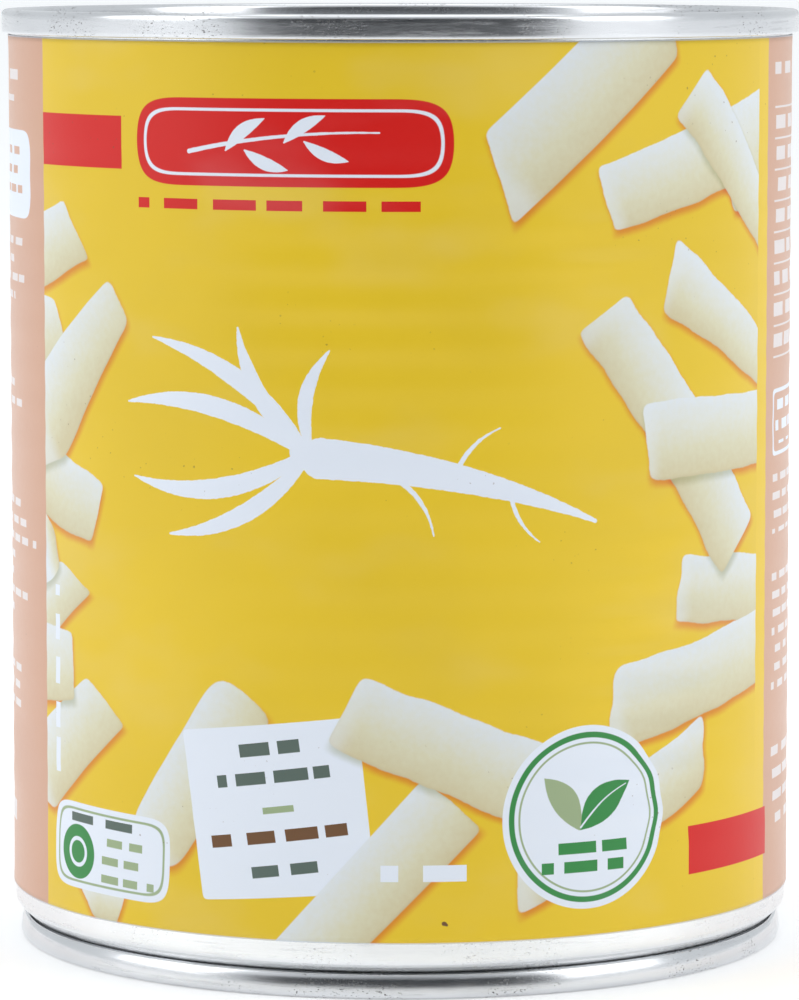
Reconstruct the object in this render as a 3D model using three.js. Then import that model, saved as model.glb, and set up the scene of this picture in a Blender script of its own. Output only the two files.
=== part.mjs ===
// A sealed food can of the common 850 ml size, with its paper label and the
// cut salsify roots packed inside it. Millimetres, +Z up. The origin is the
// centre of the circle that the can stands on; the label's front faces -Y.
//
// The can is built the way a three-piece tinplate can is: a welded and beaded
// body, two stamped ends, and a double seam at each end, where the end's curl
// and the body's flange are hooked into each other over a ring of sealing
// compound. The bottom is necked in so that it nests in the can below it.

import * as THREE from 'three';

// ---- Driving dimensions -------------------------------------------------

const CAN_HEIGHT = 118.4;
const BODY_RADIUS = 49.6; // outside of the body wall
const NECK_RADIUS = 47.9; // outside of the body wall where the bottom is necked in
const BODY_PLATE = 0.2; // thickness of the body's tinplate
const END_PLATE = 0.24; // thickness of the ends' tinplate

// The double seam, from the outside in: seaming wall, body hook, cover hook,
// body wall, chuck wall. A film of compound fills the space between the layers.
const SEAM_LENGTH = 3.0;
const SEAM_FILM = 0.12;
const CHUCK_FILM = 0.06; // between the chuck wall and the body wall
const SEAM_CORNER = 0.25; // the seam's rounded corners, as chamfers
const BODY_HOOK_LENGTH = 2.15;
const COVER_HOOK_LENGTH = 1.85;

// An end's panel: depths are measured from the seam's crown, into the can.
const PANEL_DEPTH = 3.6;
const COUNTERSINK_DEPTH = 4.3;
const COUNTERSINK_WIDTH = 1.4;
const RING_RISE = 0.55; // height of the expansion ring pressed into the panel
const RING_INNER_RADIUS = 27;
const RING_OUTER_RADIUS = 33;
const RING_SLOPE = 1.2; // radial width of the ring's sloped sides
const STEP_RADIUS = 41; // the step outside the ring
const STEP_DROP = 0.3;

// The body's beads, which stiffen the wall under the label.
const BEAD_COUNT = 18;
const BEAD_PITCH = 4.8;
const BEAD_DEPTH = 0.55;
const BEAD_CENTRE_Z = 59.6;
const NECK_TOP_Z = 4.7;
const NECK_BOTTOM_Z = 3.4;

const LABEL_BOTTOM_Z = 7.0;
const LABEL_TOP_Z = 115.2;
const LABEL_CLEARANCE = 0.06; // between the body wall and the paper
const LABEL_THICKNESS = 0.1;
const LAP_LIFT = 0.19; // how far the lap's outer layer stands outside the inner one
const GLUE_THICKNESS = 0.05;
const GLUE_END_MARGIN = 2.0; // bare paper above and below a strip of glue

// Cut roots stand in columns, two to a column, on a hexagonal layout.
const ROOT_SPACING = 19.4;
const ROOT_FLOOR_Z = 5.0;
const ROOT_GAP = 0.4; // between the two roots of a column
const ROOT_MEAN_RADIUS = 8.85;
const ROOT_RADIUS_SPREAD = 0.55;
const ROOT_MEAN_LENGTH = 50;
const ROOT_LENGTH_SPREAD = 3.2;
const ROOT_EDGE = 0.8; // the softened edge of a cut face
const ROOT_SIDES = 8;

// Every round piece of the can has the same number of facets, which line up,
// so that thin gaps between them stay the same all the way round.
const FACETS = 36;
const FACET_ANGLE = (2 * Math.PI) / FACETS;

// ---- Materials ----------------------------------------------------------

const tinplate = new THREE.MeshStandardMaterial({ color: 0xcfd4d8, roughness: 0.3, metalness: 0.9 });
const endTinplate = new THREE.MeshStandardMaterial({ color: 0xd6dbdf, roughness: 0.25, metalness: 0.95 });
const sealingCompound = new THREE.MeshStandardMaterial({ color: 0xb9b39c, roughness: 0.8, metalness: 0 });
const labelPaper = new THREE.MeshStandardMaterial({ color: 0xe0be40, roughness: 0.45, metalness: 0 });
const hotMeltGlue = new THREE.MeshStandardMaterial({ color: 0xd9c48a, roughness: 0.5, metalness: 0 });
const rootFlesh = new THREE.MeshStandardMaterial({ color: 0xe9e3cb, roughness: 0.6, metalness: 0 });

// ---- Shape helpers ------------------------------------------------------

// Offsets a centre line [[x, y], ...] to both sides by half the sheet's
// thickness, with mitred corners, and returns the outline that goes out along
// one side and back along the other.
function sheetOutline(centreLine, thickness) {
  const points = centreLine.map(([x, y]) => new THREE.Vector2(x, y));
  const normals = points.slice(1).map((point, i) => {
    const along = point.clone().sub(points[i]).normalize();
    return new THREE.Vector2(-along.y, along.x);
  });
  const offsets = points.map((_, i) => {
    const before = normals[Math.max(i - 1, 0)];
    const after = normals[Math.min(i, normals.length - 1)];
    const mitre = before.clone().add(after).normalize();
    return mitre.multiplyScalar(thickness / 2 / mitre.dot(before));
  });
  const oneSide = points.map((point, i) => point.clone().add(offsets[i]));
  const otherSide = points.map((point, i) => point.clone().sub(offsets[i]));
  return [...oneSide, ...otherSide.reverse()];
}

// Turns an outline of (radius, height) points about the Z axis. The outline
// either starts and ends on the axis or is a closed section beside it.
function revolve(outline, sides = FACETS) {
  const points = [...outline];
  if (THREE.ShapeUtils.area(points) < 0) points.reverse();
  const touchesAxis = points[0].x === 0 || points.at(-1).x === 0;
  if (!touchesAxis) points.push(points[0].clone());
  return new THREE.LatheGeometry(points, sides).rotateX(Math.PI / 2);
}

// Stands a flat outline of (x, y) points up between two heights.
function extrudeUp(outline, bottomZ, topZ) {
  const shape = new THREE.Shape(outline);
  const options = { depth: topZ - bottomZ, bevelEnabled: false };
  return new THREE.ExtrudeGeometry(shape, options).translate(0, 0, bottomZ);
}

function polar(radius, angle) {
  return new THREE.Vector2(radius * Math.cos(angle), radius * Math.sin(angle));
}

function namedMesh(name, geometry, material) {
  const mesh = new THREE.Mesh(geometry, material);
  mesh.name = name;
  return mesh;
}

// ---- The double seam ----------------------------------------------------

// Centre-line radii of the seam's layers, from the radius of the body wall's
// outside where the seam is made.
function seamRadii(wallRadius) {
  const coverHook = wallRadius + SEAM_FILM + END_PLATE / 2;
  const bodyHook = coverHook + END_PLATE / 2 + SEAM_FILM + BODY_PLATE / 2;
  return {
    chuckWall: wallRadius - BODY_PLATE - CHUCK_FILM - END_PLATE / 2,
    bodyWall: wallRadius - BODY_PLATE / 2,
    coverHook,
    bodyHook,
    seamingWall: bodyHook + BODY_PLATE / 2 + SEAM_FILM + END_PLATE / 2,
  };
}

// Centre-line depths, from the seam's crown into the can.
const CROWN_DEPTH = END_PLATE / 2;
const FLANGE_DEPTH = END_PLATE + SEAM_FILM + BODY_PLATE / 2;
const CURL_DEPTH = SEAM_LENGTH - END_PLATE / 2;

// The body's flange, as [radius, depth], from the wall over to the hook's tip.
function bodyHookLine(wallRadius) {
  const { bodyWall, bodyHook } = seamRadii(wallRadius);
  const corner = SEAM_CORNER * 0.6;
  return [
    [bodyWall, FLANGE_DEPTH + corner],
    [bodyWall + corner, FLANGE_DEPTH],
    [bodyHook - corner, FLANGE_DEPTH],
    [bodyHook, FLANGE_DEPTH + corner],
    [bodyHook, FLANGE_DEPTH + BODY_HOOK_LENGTH],
  ];
}

// A whole end, as [radius, depth], from the axis out over the panel, its
// expansion ring, the countersink, the chuck wall and round the curl.
function endLine(wallRadius) {
  const { chuckWall, coverHook, seamingWall } = seamRadii(wallRadius);
  const panel = PANEL_DEPTH + END_PLATE / 2;
  const countersink = COUNTERSINK_DEPTH + END_PLATE / 2;
  const countersinkRadius = chuckWall - 0.45;
  return [
    [0, panel],
    [RING_INNER_RADIUS, panel],
    [RING_INNER_RADIUS + RING_SLOPE, panel - RING_RISE],
    [RING_OUTER_RADIUS - RING_SLOPE, panel - RING_RISE],
    [RING_OUTER_RADIUS, panel],
    [STEP_RADIUS, panel],
    [STEP_RADIUS + RING_SLOPE, panel - STEP_DROP],
    [countersinkRadius - COUNTERSINK_WIDTH - 0.5, panel - STEP_DROP],
    [countersinkRadius - COUNTERSINK_WIDTH + 0.2, countersink],
    [countersinkRadius, countersink],
    [chuckWall, SEAM_LENGTH],
    [chuckWall, CROWN_DEPTH + SEAM_CORNER],
    [chuckWall + SEAM_CORNER, CROWN_DEPTH],
    [seamingWall - SEAM_CORNER, CROWN_DEPTH],
    [seamingWall, CROWN_DEPTH + SEAM_CORNER],
    [seamingWall, CURL_DEPTH - SEAM_CORNER],
    [seamingWall - SEAM_CORNER, CURL_DEPTH],
    [coverHook + SEAM_CORNER, CURL_DEPTH],
    [coverHook, CURL_DEPTH - SEAM_CORNER],
    [coverHook, CURL_DEPTH - COVER_HOOK_LENGTH],
  ];
}

// The ring of compound squeezed between the cover hook's tip and the flange.
function compoundOutline(wallRadius, heightOf) {
  const { coverHook } = seamRadii(wallRadius);
  const halfWidth = END_PLATE / 2 + SEAM_FILM / 2;
  const top = FLANGE_DEPTH + BODY_PLATE / 2 + SEAM_FILM / 2;
  const bottom = CURL_DEPTH - COVER_HOOK_LENGTH - SEAM_FILM / 2;
  return [
    new THREE.Vector2(coverHook - halfWidth, heightOf(top)),
    new THREE.Vector2(coverHook + halfWidth, heightOf(top)),
    new THREE.Vector2(coverHook + halfWidth, heightOf(bottom)),
    new THREE.Vector2(coverHook - halfWidth, heightOf(bottom)),
  ];
}

const depthFromTop = (depth) => CAN_HEIGHT - depth;
const depthFromBottom = (depth) => depth;

function withHeights(line, heightOf) {
  return line.map(([radius, depth]) => [radius, heightOf(depth)]);
}

// ---- Body, ends and seam rings ------------------------------------------

// The beads as a zigzag between the wall's radius and the bead's bottom.
function beadLine(crestRadius) {
  const firstZ = BEAD_CENTRE_Z - ((BEAD_COUNT - 1) / 2) * BEAD_PITCH;
  const line = [];
  for (let bead = 0; bead < BEAD_COUNT; bead += 1) {
    const z = firstZ + bead * BEAD_PITCH;
    line.push([crestRadius, z - BEAD_PITCH / 2]);
    line.push([crestRadius - BEAD_DEPTH, z]);
  }
  line.push([crestRadius, firstZ + (BEAD_COUNT - 0.5) * BEAD_PITCH]);
  return line;
}

function makeBody() {
  const wall = BODY_RADIUS - BODY_PLATE / 2;
  const centreLine = [
    ...withHeights(bodyHookLine(NECK_RADIUS), depthFromBottom).reverse(),
    [NECK_RADIUS - BODY_PLATE / 2, NECK_BOTTOM_Z],
    [wall, NECK_TOP_Z],
    ...beadLine(wall),
    ...withHeights(bodyHookLine(BODY_RADIUS), depthFromTop),
  ];
  return namedMesh('can_body', revolve(sheetOutline(centreLine, BODY_PLATE)), tinplate);
}

function makeEnd(name, wallRadius, heightOf) {
  const line = withHeights(endLine(wallRadius), heightOf);
  return namedMesh(name, revolve(sheetOutline(line, END_PLATE)), endTinplate);
}

function makeCompound(name, wallRadius, heightOf) {
  return namedMesh(name, revolve(compoundOutline(wallRadius, heightOf)), sealingCompound);
}

// ---- Label --------------------------------------------------------------

const LABEL_INNER_RADIUS = BODY_RADIUS + LABEL_CLEARANCE;
const LABEL_OUTER_RADIUS = LABEL_INNER_RADIUS + LABEL_THICKNESS;
const LAP_START_ANGLE = Math.PI / 2; // the lap is at the back, on +Y

// One sheet of paper that goes once round the can and one facet further, so
// that its last facet lies over its first.
function makeLabel() {
  const inner = [];
  const outer = [];
  for (let step = 0; step <= FACETS + 1; step += 1) {
    const lift = step >= FACETS ? LAP_LIFT : 0;
    const angle = LAP_START_ANGLE + step * FACET_ANGLE;
    inner.push(polar(LABEL_INNER_RADIUS + lift, angle));
    outer.push(polar(LABEL_OUTER_RADIUS + lift, angle));
  }
  const outline = [...outer, ...inner.reverse()];
  return namedMesh('label', extrudeUp(outline, LABEL_BOTTOM_Z, LABEL_TOP_Z), labelPaper);
}

// A strip of glue on one flat facet next to the lap.
function makeGlueStrip(name, innerRadius, thickness, facet, from, to) {
  const startAngle = LAP_START_ANGLE + facet * FACET_ANGLE;
  const onFacet = (radius, share) =>
    polar(radius, startAngle).lerp(polar(radius, startAngle + FACET_ANGLE), share);
  const outline = [
    onFacet(innerRadius, from),
    onFacet(innerRadius + thickness, from),
    onFacet(innerRadius + thickness, to),
    onFacet(innerRadius, to),
  ];
  const bottomZ = LABEL_BOTTOM_Z + GLUE_END_MARGIN;
  const topZ = LABEL_TOP_Z - GLUE_END_MARGIN;
  return namedMesh(name, extrudeUp(outline, bottomZ, topZ), hotMeltGlue);
}

function makeLabelGlue() {
  const lapGap = LAP_LIFT - LABEL_THICKNESS;
  const lapGlueRadius = LABEL_OUTER_RADIUS + (lapGap - GLUE_THICKNESS) / 2;
  const pickupThickness = LABEL_CLEARANCE / 2;
  const pickupRadius = BODY_RADIUS + LABEL_CLEARANCE / 4;
  return [
    makeGlueStrip('label_lap_glue', lapGlueRadius, GLUE_THICKNESS, 0, 0.1, 0.9),
    makeGlueStrip('label_pickup_glue', pickupRadius, pickupThickness, 0, 0.1, 0.7),
  ];
}

// ---- Cut salsify roots --------------------------------------------------

// A number from -1 to 1 that differs for each index and looks irregular.
function variation(index, phase) {
  return Math.sin(index * 2.399963 + phase * 1.7);
}

// One piece of peeled root: a tapered round with two cut faces, its lower face
// on Z = 0 of its own mesh.
function rootGeometry(radius, length, taper) {
  const outline = [
    [0, 0],
    [radius - ROOT_EDGE, 0],
    [radius, ROOT_EDGE],
    [radius * (1 - taper * 0.35), length / 2],
    [radius * (1 - taper), length - ROOT_EDGE],
    [radius * (1 - taper) - ROOT_EDGE, length],
    [0, length],
  ];
  return revolve(outline.map(([x, y]) => new THREE.Vector2(x, y)), ROOT_SIDES);
}

// The centre of each column: one in the middle, six round it, twelve round
// those, on a hexagonal layout.
function columnCentres() {
  const centres = [];
  for (let row = -2; row <= 2; row += 1) {
    const inRow = 5 - Math.abs(row);
    for (let place = 0; place < inRow; place += 1) {
      const x = (place - (inRow - 1) / 2) * ROOT_SPACING;
      const y = row * ROOT_SPACING * Math.sin(Math.PI / 3);
      centres.push(new THREE.Vector2(x, y));
    }
  }
  return centres;
}

function makeRoots() {
  const roots = new THREE.Group();
  let index = 0;
  for (const centre of columnCentres()) {
    let z = ROOT_FLOOR_Z;
    for (const thickEndDown of [true, false]) {
      index += 1;
      const radius = ROOT_MEAN_RADIUS + ROOT_RADIUS_SPREAD * variation(index, 1);
      const length = ROOT_MEAN_LENGTH + ROOT_LENGTH_SPREAD * variation(index, 2);
      const taper = 0.1 + 0.05 * variation(index, 3);
      const name = `salsify_root_${String(index).padStart(2, '0')}`;
      const root = namedMesh(name, rootGeometry(radius, length, taper), rootFlesh);
      root.position.set(centre.x, centre.y, thickEndDown ? z : z + length);
      root.rotation.set(thickEndDown ? 0 : Math.PI, 0, 0);
      roots.add(root);
      z += length + ROOT_GAP;
    }
  }
  return roots;
}

// ---- The whole can ------------------------------------------------------

const can = new THREE.Group();
can.add(makeBody());
can.add(makeEnd('top_end', BODY_RADIUS, depthFromTop));
can.add(makeEnd('bottom_end', NECK_RADIUS, depthFromBottom));
can.add(makeCompound('top_seam_compound', BODY_RADIUS, depthFromTop));
can.add(makeCompound('bottom_seam_compound', NECK_RADIUS, depthFromBottom));
can.add(makeLabel());
can.add(...makeLabelGlue());
can.add(makeRoots());

export default can;
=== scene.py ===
import logging
import math
from dataclasses import dataclass, field
from enum import Enum

import bmesh
import bpy
import numpy as np
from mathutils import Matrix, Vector


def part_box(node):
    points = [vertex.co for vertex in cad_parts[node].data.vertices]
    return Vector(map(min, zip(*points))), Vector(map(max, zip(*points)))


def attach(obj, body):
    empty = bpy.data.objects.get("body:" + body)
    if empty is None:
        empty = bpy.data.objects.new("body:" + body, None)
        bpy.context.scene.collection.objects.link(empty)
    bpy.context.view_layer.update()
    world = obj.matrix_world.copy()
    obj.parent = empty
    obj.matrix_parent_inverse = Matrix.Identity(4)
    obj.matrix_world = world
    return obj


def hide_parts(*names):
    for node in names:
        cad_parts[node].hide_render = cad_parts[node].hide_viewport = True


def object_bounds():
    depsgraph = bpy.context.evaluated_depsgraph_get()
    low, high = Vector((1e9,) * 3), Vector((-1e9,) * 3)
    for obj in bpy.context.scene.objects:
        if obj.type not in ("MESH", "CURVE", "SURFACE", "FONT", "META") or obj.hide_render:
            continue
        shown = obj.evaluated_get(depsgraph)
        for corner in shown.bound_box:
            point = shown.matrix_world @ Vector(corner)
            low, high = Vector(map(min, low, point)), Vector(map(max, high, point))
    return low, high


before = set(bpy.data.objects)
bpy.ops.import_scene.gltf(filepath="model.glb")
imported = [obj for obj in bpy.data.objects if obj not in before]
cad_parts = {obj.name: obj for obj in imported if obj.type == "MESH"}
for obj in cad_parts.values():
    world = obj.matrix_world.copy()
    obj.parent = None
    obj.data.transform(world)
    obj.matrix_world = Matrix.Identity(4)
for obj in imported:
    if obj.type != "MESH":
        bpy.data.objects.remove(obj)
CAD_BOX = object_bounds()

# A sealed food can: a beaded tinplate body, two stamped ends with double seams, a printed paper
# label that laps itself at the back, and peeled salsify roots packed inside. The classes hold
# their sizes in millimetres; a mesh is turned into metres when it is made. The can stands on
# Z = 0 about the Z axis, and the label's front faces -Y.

LOG = logging.getLogger("food_can")
MM = 0.001
MERGE_DISTANCE = 2e-6  # metres; points of two sheets that meet are this close
ROOT_BODY = "root"
ROOT_COUNT = 38
LABEL_LOW, LABEL_HIGH = 7.0, 115.2  # millimetres above the floor
PRINT_SCALE = 100.0  # millimetres to one unit of the Print map
FRONT_ANGLE = 1.5 * math.pi  # the middle of the label's front, from +X
TOP_LEAN, BOTTOM_LEAN = 0.02, 0.42  # how far each seam's wall leans in, in millimetres

Point3 = tuple[float, float, float]


class Slot(Enum):
    """The record's material slots."""

    BODY = "body_tinplate"
    END = "end_tinplate"
    COMPOUND = "sealing_compound"
    LABEL = "label_paper"
    GLUE = "hot_melt_glue"
    FLESH = "root_flesh"


# ---------------------------------------------------------------- surfaces


@dataclass
class Sheet:
    """A surface as a grid of points, with flat maps over it.

    points has the shape (rows, columns, 3), in millimetres. Faces look along the direction of
    the rows' growth crossed with that of the columns' growth. maps holds one (rows, columns, 2)
    array of places for each UV map.
    """

    points: np.ndarray
    maps: dict[str, np.ndarray] = field(default_factory=dict)
    finish: int = 0  # which of the piece's materials it wears

    def quads(self) -> np.ndarray:
        """Returns the grid's faces, each as four point numbers."""
        rows, columns = self.points.shape[:2]
        corner = np.arange(rows * columns).reshape(rows, columns)
        around = (corner[:-1, :-1], corner[1:, :-1], corner[1:, 1:], corner[:-1, 1:])
        return np.stack(around, axis=-1).reshape(-1, 4)


def build_piece(name: str, sheets: list[Sheet]) -> bpy.types.Object:
    """Makes one closed, smooth piece of sheets whose edges meet.

    Args:
        name: the piece's name.
        sheets: the grids; they all carry the same maps.

    Returns:
        The new object, at the origin, in metres.
    """
    starts = np.cumsum([0] + [sheet.points.size // 3 for sheet in sheets])
    points = np.concatenate([sheet.points.reshape(-1, 3) for sheet in sheets]) * MM
    faces = np.concatenate([sheet.quads() + start for sheet, start in zip(sheets, starts)])
    mesh = bpy.data.meshes.new(name)
    mesh.from_pydata(points.tolist(), [], faces.tolist())
    for map_name in sheets[0].maps:
        places = np.concatenate([sheet.maps[map_name].reshape(-1, 2) for sheet in sheets])
        layer = mesh.uv_layers.new(name=map_name)
        layer.data.foreach_set("uv", places[faces.reshape(-1)].astype(np.float32).reshape(-1))
    finishes = [np.full(len(sheet.quads()), sheet.finish) for sheet in sheets]
    mesh.polygons.foreach_set("material_index", np.concatenate(finishes).astype(np.int32))
    shape = bmesh.new()
    shape.from_mesh(mesh)
    bmesh.ops.remove_doubles(shape, verts=shape.verts, dist=MERGE_DISTANCE)
    shape.to_mesh(mesh)
    shape.free()
    mesh.shade_smooth()
    piece = bpy.data.objects.new(name, mesh)
    bpy.context.scene.collection.objects.link(piece)
    return piece


def settle(piece: bpy.types.Object, slot: Slot, node: str, *finishes: bpy.types.Material) -> None:
    """Dresses a finished piece, fixes it to the can and lets it stand for its CAD node.

    Args:
        piece: the finished object.
        slot: the record's slot; not used.
        node: the CAD node that the piece stands for.
        finishes: the piece's materials.
    """
    for finish in finishes:
        piece.data.materials.append(finish)
    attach(piece, ROOT_BODY)
    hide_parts(node)
    LOG.info("%s: %d faces, stands for %s", piece.name, len(piece.data.polygons), node)


def rounded_path(corners: np.ndarray, radii: np.ndarray, arc_step: float) -> np.ndarray:
    """Rounds the corners of an open polyline with arcs.

    Each corner gives way to an arc that touches both of its sides. The arc starts the radius
    times the tangent of half the turn before the corner.

    Args:
        corners: the polyline's (n, 2) points.
        radii: the radius at each point; the two ends' are not used.
        arc_step: the largest angle between two points of an arc, in radians.

    Returns:
        The path's points, (m, 2).
    """
    path = [corners[:1]]
    for before, corner, after, radius in zip(corners, corners[1:], corners[2:], radii[1:]):
        arrive = (corner - before) / np.linalg.norm(corner - before)
        leave = (after - corner) / np.linalg.norm(after - corner)
        turn = math.atan2(arrive[0] * leave[1] - arrive[1] * leave[0], float(arrive @ leave))
        inward = math.copysign(1.0, turn) * np.array([-arrive[1], arrive[0]])
        centre = corner - arrive * radius * math.tan(abs(turn) / 2) + inward * radius
        steps = max(2, math.ceil(abs(turn) / arc_step) + 1)
        angle = np.linspace(0.0, abs(turn), steps)[:, None]
        path.append(centre + radius * (arrive * np.sin(angle) - inward * np.cos(angle)))
    path.append(corners[-1:])
    return np.concatenate(path)


def fill_in(path: np.ndarray, longest: float) -> np.ndarray:
    """Splits a path's long steps evenly, so that none is longer than `longest`.

    Args:
        path: the path's points, (n, 2).
        longest: the longest step allowed.

    Returns:
        The finer path, (m, 2).
    """
    parts = []
    for start, end in zip(path, path[1:]):
        count = max(1, math.ceil(float(np.linalg.norm(end - start)) / longest))
        parts.append(start + (end - start) * np.arange(count)[:, None] / count)
    return np.concatenate([*parts, path[-1:]])


def plate_outline(path: np.ndarray, thickness: float) -> np.ndarray:
    """Gives a plate's centre line its thickness.

    Each point moves half the thickness to both sides along the path's normal, where the path's
    direction is that of the line through the point's two neighbours. A point on the axis stays
    on it.

    Args:
        path: the centre line's points, (n, 2).
        thickness: the plate's thickness.

    Returns:
        The outline, out along the left side and back along the right side, (2n, 2).
    """
    along = np.gradient(path, axis=0)
    along /= np.linalg.norm(along, axis=1, keepdims=True)
    offset = np.stack([-along[:, 1], along[:, 0]], axis=1) * thickness / 2
    offset[path[:, 0] == 0.0, 0] = 0.0
    return np.concatenate([path + offset, (path - offset)[::-1]])


def revolve(outline: np.ndarray, ripple: np.ndarray) -> Sheet:
    """Turns a profile about the Z axis.

    A point (r, z) of the profile becomes ((r + ripple) cos a, (r + ripple) sin a, z) at each of
    the evenly spaced angles a. The profile is put anticlockwise in the (r, z) plane first, so
    that faces look outwards, and is closed on itself unless it starts on the axis.

    Args:
        outline: the profile's (n, 2) points, as radius and height.
        ripple: radial offsets, (n, angles), of which the last angle is the first again.

    Returns:
        The closed surface.
    """
    ahead = np.roll(outline, -1, axis=0)
    if np.sum(outline[:, 0] * ahead[:, 1] - ahead[:, 0] * outline[:, 1]) < 0:
        outline, ripple = outline[::-1], ripple[::-1]
    if outline[0, 0] > 0.0:
        outline = np.concatenate([outline, outline[:1]])
        ripple = np.concatenate([ripple, ripple[:1]])
    angle = np.linspace(0.0, 2 * math.pi, ripple.shape[1])
    radius = outline[:, 0, None] + ripple
    height = np.broadcast_to(outline[:, 1, None], radius.shape)
    points = np.stack([radius * np.cos(angle), radius * np.sin(angle), height], axis=-1)
    return Sheet(points.transpose(1, 0, 2))


def uneven_ring(angle: np.ndarray, seed: int, orders: range) -> np.ndarray:
    """A smooth uneven curve round a circle, about -1 to 1.

    It is the sum of one cosine for each order, which is its number of waves per turn, with a
    random phase and a weight that falls with the square root of the order.

    Args:
        angle: where it is read, in radians.
        seed: the random seed.
        orders: the numbers of waves per turn.

    Returns:
        The curve at each angle.
    """
    random = np.random.default_rng(seed)
    order = np.array(orders)[:, None]
    weight = random.uniform(0.4, 1.0, order.shape) / np.sqrt(order)
    phase = random.uniform(0.0, 2 * math.pi, order.shape)
    curve = np.sum(weight * np.cos(order * angle + phase), axis=0)
    return curve / np.max(np.abs(curve))


def bell(value: np.ndarray, middle: float, half_width: float) -> np.ndarray:
    """A smooth bump that is 1 at the middle and fades out past the half width."""
    return np.exp(-(((value - middle) / half_width) ** 2))


def ease(value: np.ndarray, low: float, high: float) -> np.ndarray:
    """An S-shaped step from 0 at `low` to 1 at `high`: 3 t^2 - 2 t^3."""
    share = np.clip((value - low) / (high - low), 0.0, 1.0)
    return share * share * (3 - 2 * share)


# ---------------------------------------------------------------- shader graphs

Value = bpy.types.NodeSocket | float | tuple[float, ...]
Colour = tuple[float, float, float]


class Kind(Enum):
    """Kinds of node-group sockets."""

    NUMBER = "NodeSocketFloat"
    VECTOR = "NodeSocketVector"
    COLOUR = "NodeSocketColor"


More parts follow.
